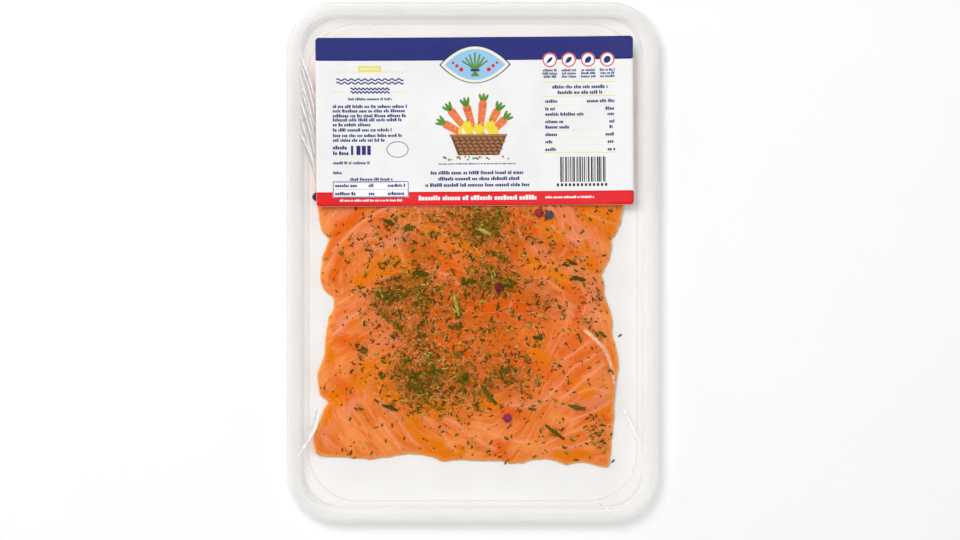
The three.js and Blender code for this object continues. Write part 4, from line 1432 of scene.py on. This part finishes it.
def print_carrot(inks, foot, turn, size, level):
    """A carrot from its narrow end at foot to its broad end with leaves. turn is its direction."""
    run = np.array([math.cos(math.radians(turn)), math.sin(math.radians(turn))])
    side = np.array([-run[1], run[0]])
    tip = foot + size * run
    corners = (foot - 1.4 * side, foot + 1.4 * side, tip + 2.2 * side, tip - 2.2 * side)
    inks["orange"].quad(*corners, level)
    inks["orange"].disc(*tip, 2.2, 2.2, level)
    for mark in (0.45, 0.65, 0.85):
        middle = foot + mark * size * run
        inks["peach"].ribbon([middle - 1.2 * side, middle], 0.35, 3)
    for spread in (-24, 0, 24):
        leaf = math.radians(turn + spread)
        middle = tip + (3.4 * math.cos(leaf), 3.4 * math.sin(leaf))
        inks["green"].disc(*middle, 2.6, 0.8, 2, leaf)


def print_picture(inks):
    """A plain picture in the middle: a basket of carrots and pears, with peas in front of it."""
    x, y = 2.0, -5.0
    carrots = ((150, 15), (128, 18), (106, 17), (84, 18.5), (62, 16), (44, 13.5))
    for number, (turn, size) in enumerate(carrots):
        foot = np.array([x + 5 * math.cos(math.radians(turn)), y - 4])
        print_carrot(inks, foot, turn, size, 1 + number % 2)
    for px, py, size in ((x - 6.5, y - 0.5, 4.4), (x + 6.0, y - 1.0, 4.8), (x - 0.5, y - 1.8, 4.2)):
        inks["lemon"].disc(px, py, size, 0.95 * size, 4)
        inks["lemon"].disc(px + 0.4, py + 0.8 * size, 0.55 * size, 0.6 * size, 4)
        inks["cream"].disc(px - 0.35 * size, py + 0.2, 0.2 * size, 0.4 * size, 5, 0.4)
        inks["brown"].ribbon([(px + 0.4, py + 1.2 * size), (px + 1.0, py + 1.6 * size)], 0.45, 5)
    inks["brown"].quad((x - 15, y - 2.5), (x + 15, y - 2.5), (x + 11, y - 13), (x - 11, y - 13), 6)
    for row in range(5):
        for k in range(9 - row // 2):
            weave = x - 12.2 + 0.85 * row + 3.05 * k
            inks["tan"].disc(weave, y - 4.1 - 1.95 * row, 1.3, 0.6, 7, 0.35 if row % 2 else -0.35)
    inks["tan"].box(x - 15.4, y - 3.0, x + 15.4, y - 1.8, 7)
    random = np.random.default_rng(17)
    for k in range(22):
        px = x + random.uniform(-19, 19)
        py = y - 13.6 - random.uniform(0, 1.8)
        size = random.uniform(0.35, 0.7)
        inks["green" if k % 3 else "red"].disc(px, py, size, size, 2)


def print_footer(inks):
    """Small print under the picture, and white print in the red field."""
    rows = (
        (-20, 22, -22.6, 0.8), (-24, 26, -27.4, 1.9), (-20, 24, -30.6, 1.9), (-27.2, 29.6, -34.0, 1.9),
    )
    for seed, row in enumerate(rows, 120):
        inks["navy"].words(*row, seed, True)
    inks["white"].words(-30.7, 33.2, -40.9, 2.5, 124, True, 2)
    inks["white"].words(37.7, 64, -40.9, 1.3, 125, True, 2)


def print_label(ground):
    """Every printed shape of the label, each ink as one piece."""
    inks = {name: Print(ground) for name in INK_COLOURS}
    print_emblem(inks)
    print_signs(inks)
    print_left_column(inks)
    print_right_column(inks)
    print_picture(inks)
    print_footer(inks)
    for name, ink in inks.items():
        piece = make_object("print_" + name, ink.points, ink.faces, smooth=False)
        dress(piece, printed("ink_" + name, INK_COLOURS[name]))


# Camera, light and floor


def link(holder):
    bpy.context.scene.collection.objects.link(holder)
    return holder


def look_down_camera():
    camera = bpy.data.cameras.new("camera")
    camera.sensor_width = 36
    camera.lens = camera.sensor_width * CAMERA_DISTANCE / (PHOTO_WIDTH * MM_PER_PX)
    camera.clip_start = 0.05
    camera.clip_end = 20
    x = (PHOTO_WIDTH / 2 - PACK_CENTRE_PX[0]) * MM_PER_PX
    y = (PACK_CENTRE_PX[1] - PHOTO_HEIGHT / 2) * MM_PER_PX
    holder = link(bpy.data.objects.new("camera", camera))
    holder.location = (x * MM, y * MM, (CAMERA_DISTANCE + FLANGE_Z) * MM)
    bpy.context.scene.camera = holder


def area_light(name, position, size, power, seen_in_gloss):
    """A square light, in metres and watts, that points at the pack."""
    light = bpy.data.lights.new(name, "AREA")
    light.shape = "SQUARE"
    light.size = size
    light.energy = power
    holder = link(bpy.data.objects.new(name, light))
    holder.location = position
    holder.visible_glossy = seen_in_gloss
    holder.rotation_euler = holder.location.normalized().to_track_quat("Z", "Y").to_euler()


def studio():
    """Soft light: a pale world, lighter at the horizon, and four lamps."""
    scene = bpy.context.scene
    scene.world = bpy.data.worlds.new("studio")
    scene.world.use_nodes = True
    g = Graph(scene.world.node_tree)
    height = g.node("SeparateXYZ", Vector=g.node("TexCoord").outputs["Generated"]).outputs["Z"]
    background = g.tree.nodes["Background"]
    background.inputs["Color"].default_value = (1, 1, 1, 1)
    g.tree.links.new(g.span(height, 0.0, 0.45, 1.0, 0.24), background.inputs["Strength"])
    scene.cycles.transparent_max_bounces = 64
    area_light("overhead", (-0.1, 0.15, 2.0), 1.7, 16.0, False)
    area_light("key", (-0.5, 0.55, 1.6), 0.8, 14.8, False)
    area_light("side_right", (1.5, -0.3, 0.8), 0.7, 3, True)
    area_light("side_left", (-1.5, 0.4, 0.9), 0.7, 3, True)
    scene.view_settings.view_transform = "Standard"
    scene.view_settings.look = "None"


def make_floor():
    size = 1.5
    z = float(cad_box[0][2]) - 0.05 * MM
    corners = [(-size, -size, z), (size, -size, z), (size, size, z), (-size, size, z)]
    mesh = bpy.data.meshes.new("floor")
    mesh.from_pydata(corners, [], [(0, 1, 2, 3)])
    mesh.materials.append(floor_material())
    link(bpy.data.objects.new("floor", mesh))


# The pack

studio()
look_down_camera()
make_floor()
make_tray()

laid, fish_top = lay_slices()
fish_rim = np.maximum.reduce([part["depth"] for part in laid])
salmon = fish_material()
bits = chive_bits()
stain = chive_stain(bits)
for index, part in enumerate(laid):
    make_slice(index, part, fish_rim, stain, salmon)

ground = surface(fish_top)
chive_green = speckled(
    "chive_green", CHIVE_TONES, (68, 70, 8), 0.5, (0.9, 3), (0.3, 0.0002), (0.45, 0.7), 0.12
)
dress(make_chives(bits, ground, fish_rim), chive_green)
pink_pepper = speckled(
    "pink_pepper", PEPPER_TONES, (60, 16, 28), 0.6, (0.8, 4), (0.5, 0.0003), (0.3, 0.55), 0.5
)
dress(make_pepper(ground), pink_pepper)

film_bottom = surface(film_height(fish_top, bits))
film_top = raised(film_bottom, FILM_T)
film = thin_sheet("lidding_film", FILM_STEP, film_depth, film_top, film_bottom)
dress(film, film_material(), "film")
dress(make_creases(film_top), fold_highlight_and_shade_material())

label_bottom = raised(film_bottom, LABEL_OVER_FILM)
label_top = raised(label_bottom, LABEL_T)
label = thin_sheet("paper_label", LABEL_STEP, label_depth, label_top, label_bottom)
dress(label, printed("label_paper", (236, 236, 236), 0.42), "label")
print_field("print_top_field", "navy", label_top, lambda y: y - BLUE_LOW)
print_field("print_end_field", "red", label_top, lambda y: RED_HIGH - y)
print_label(label_top)
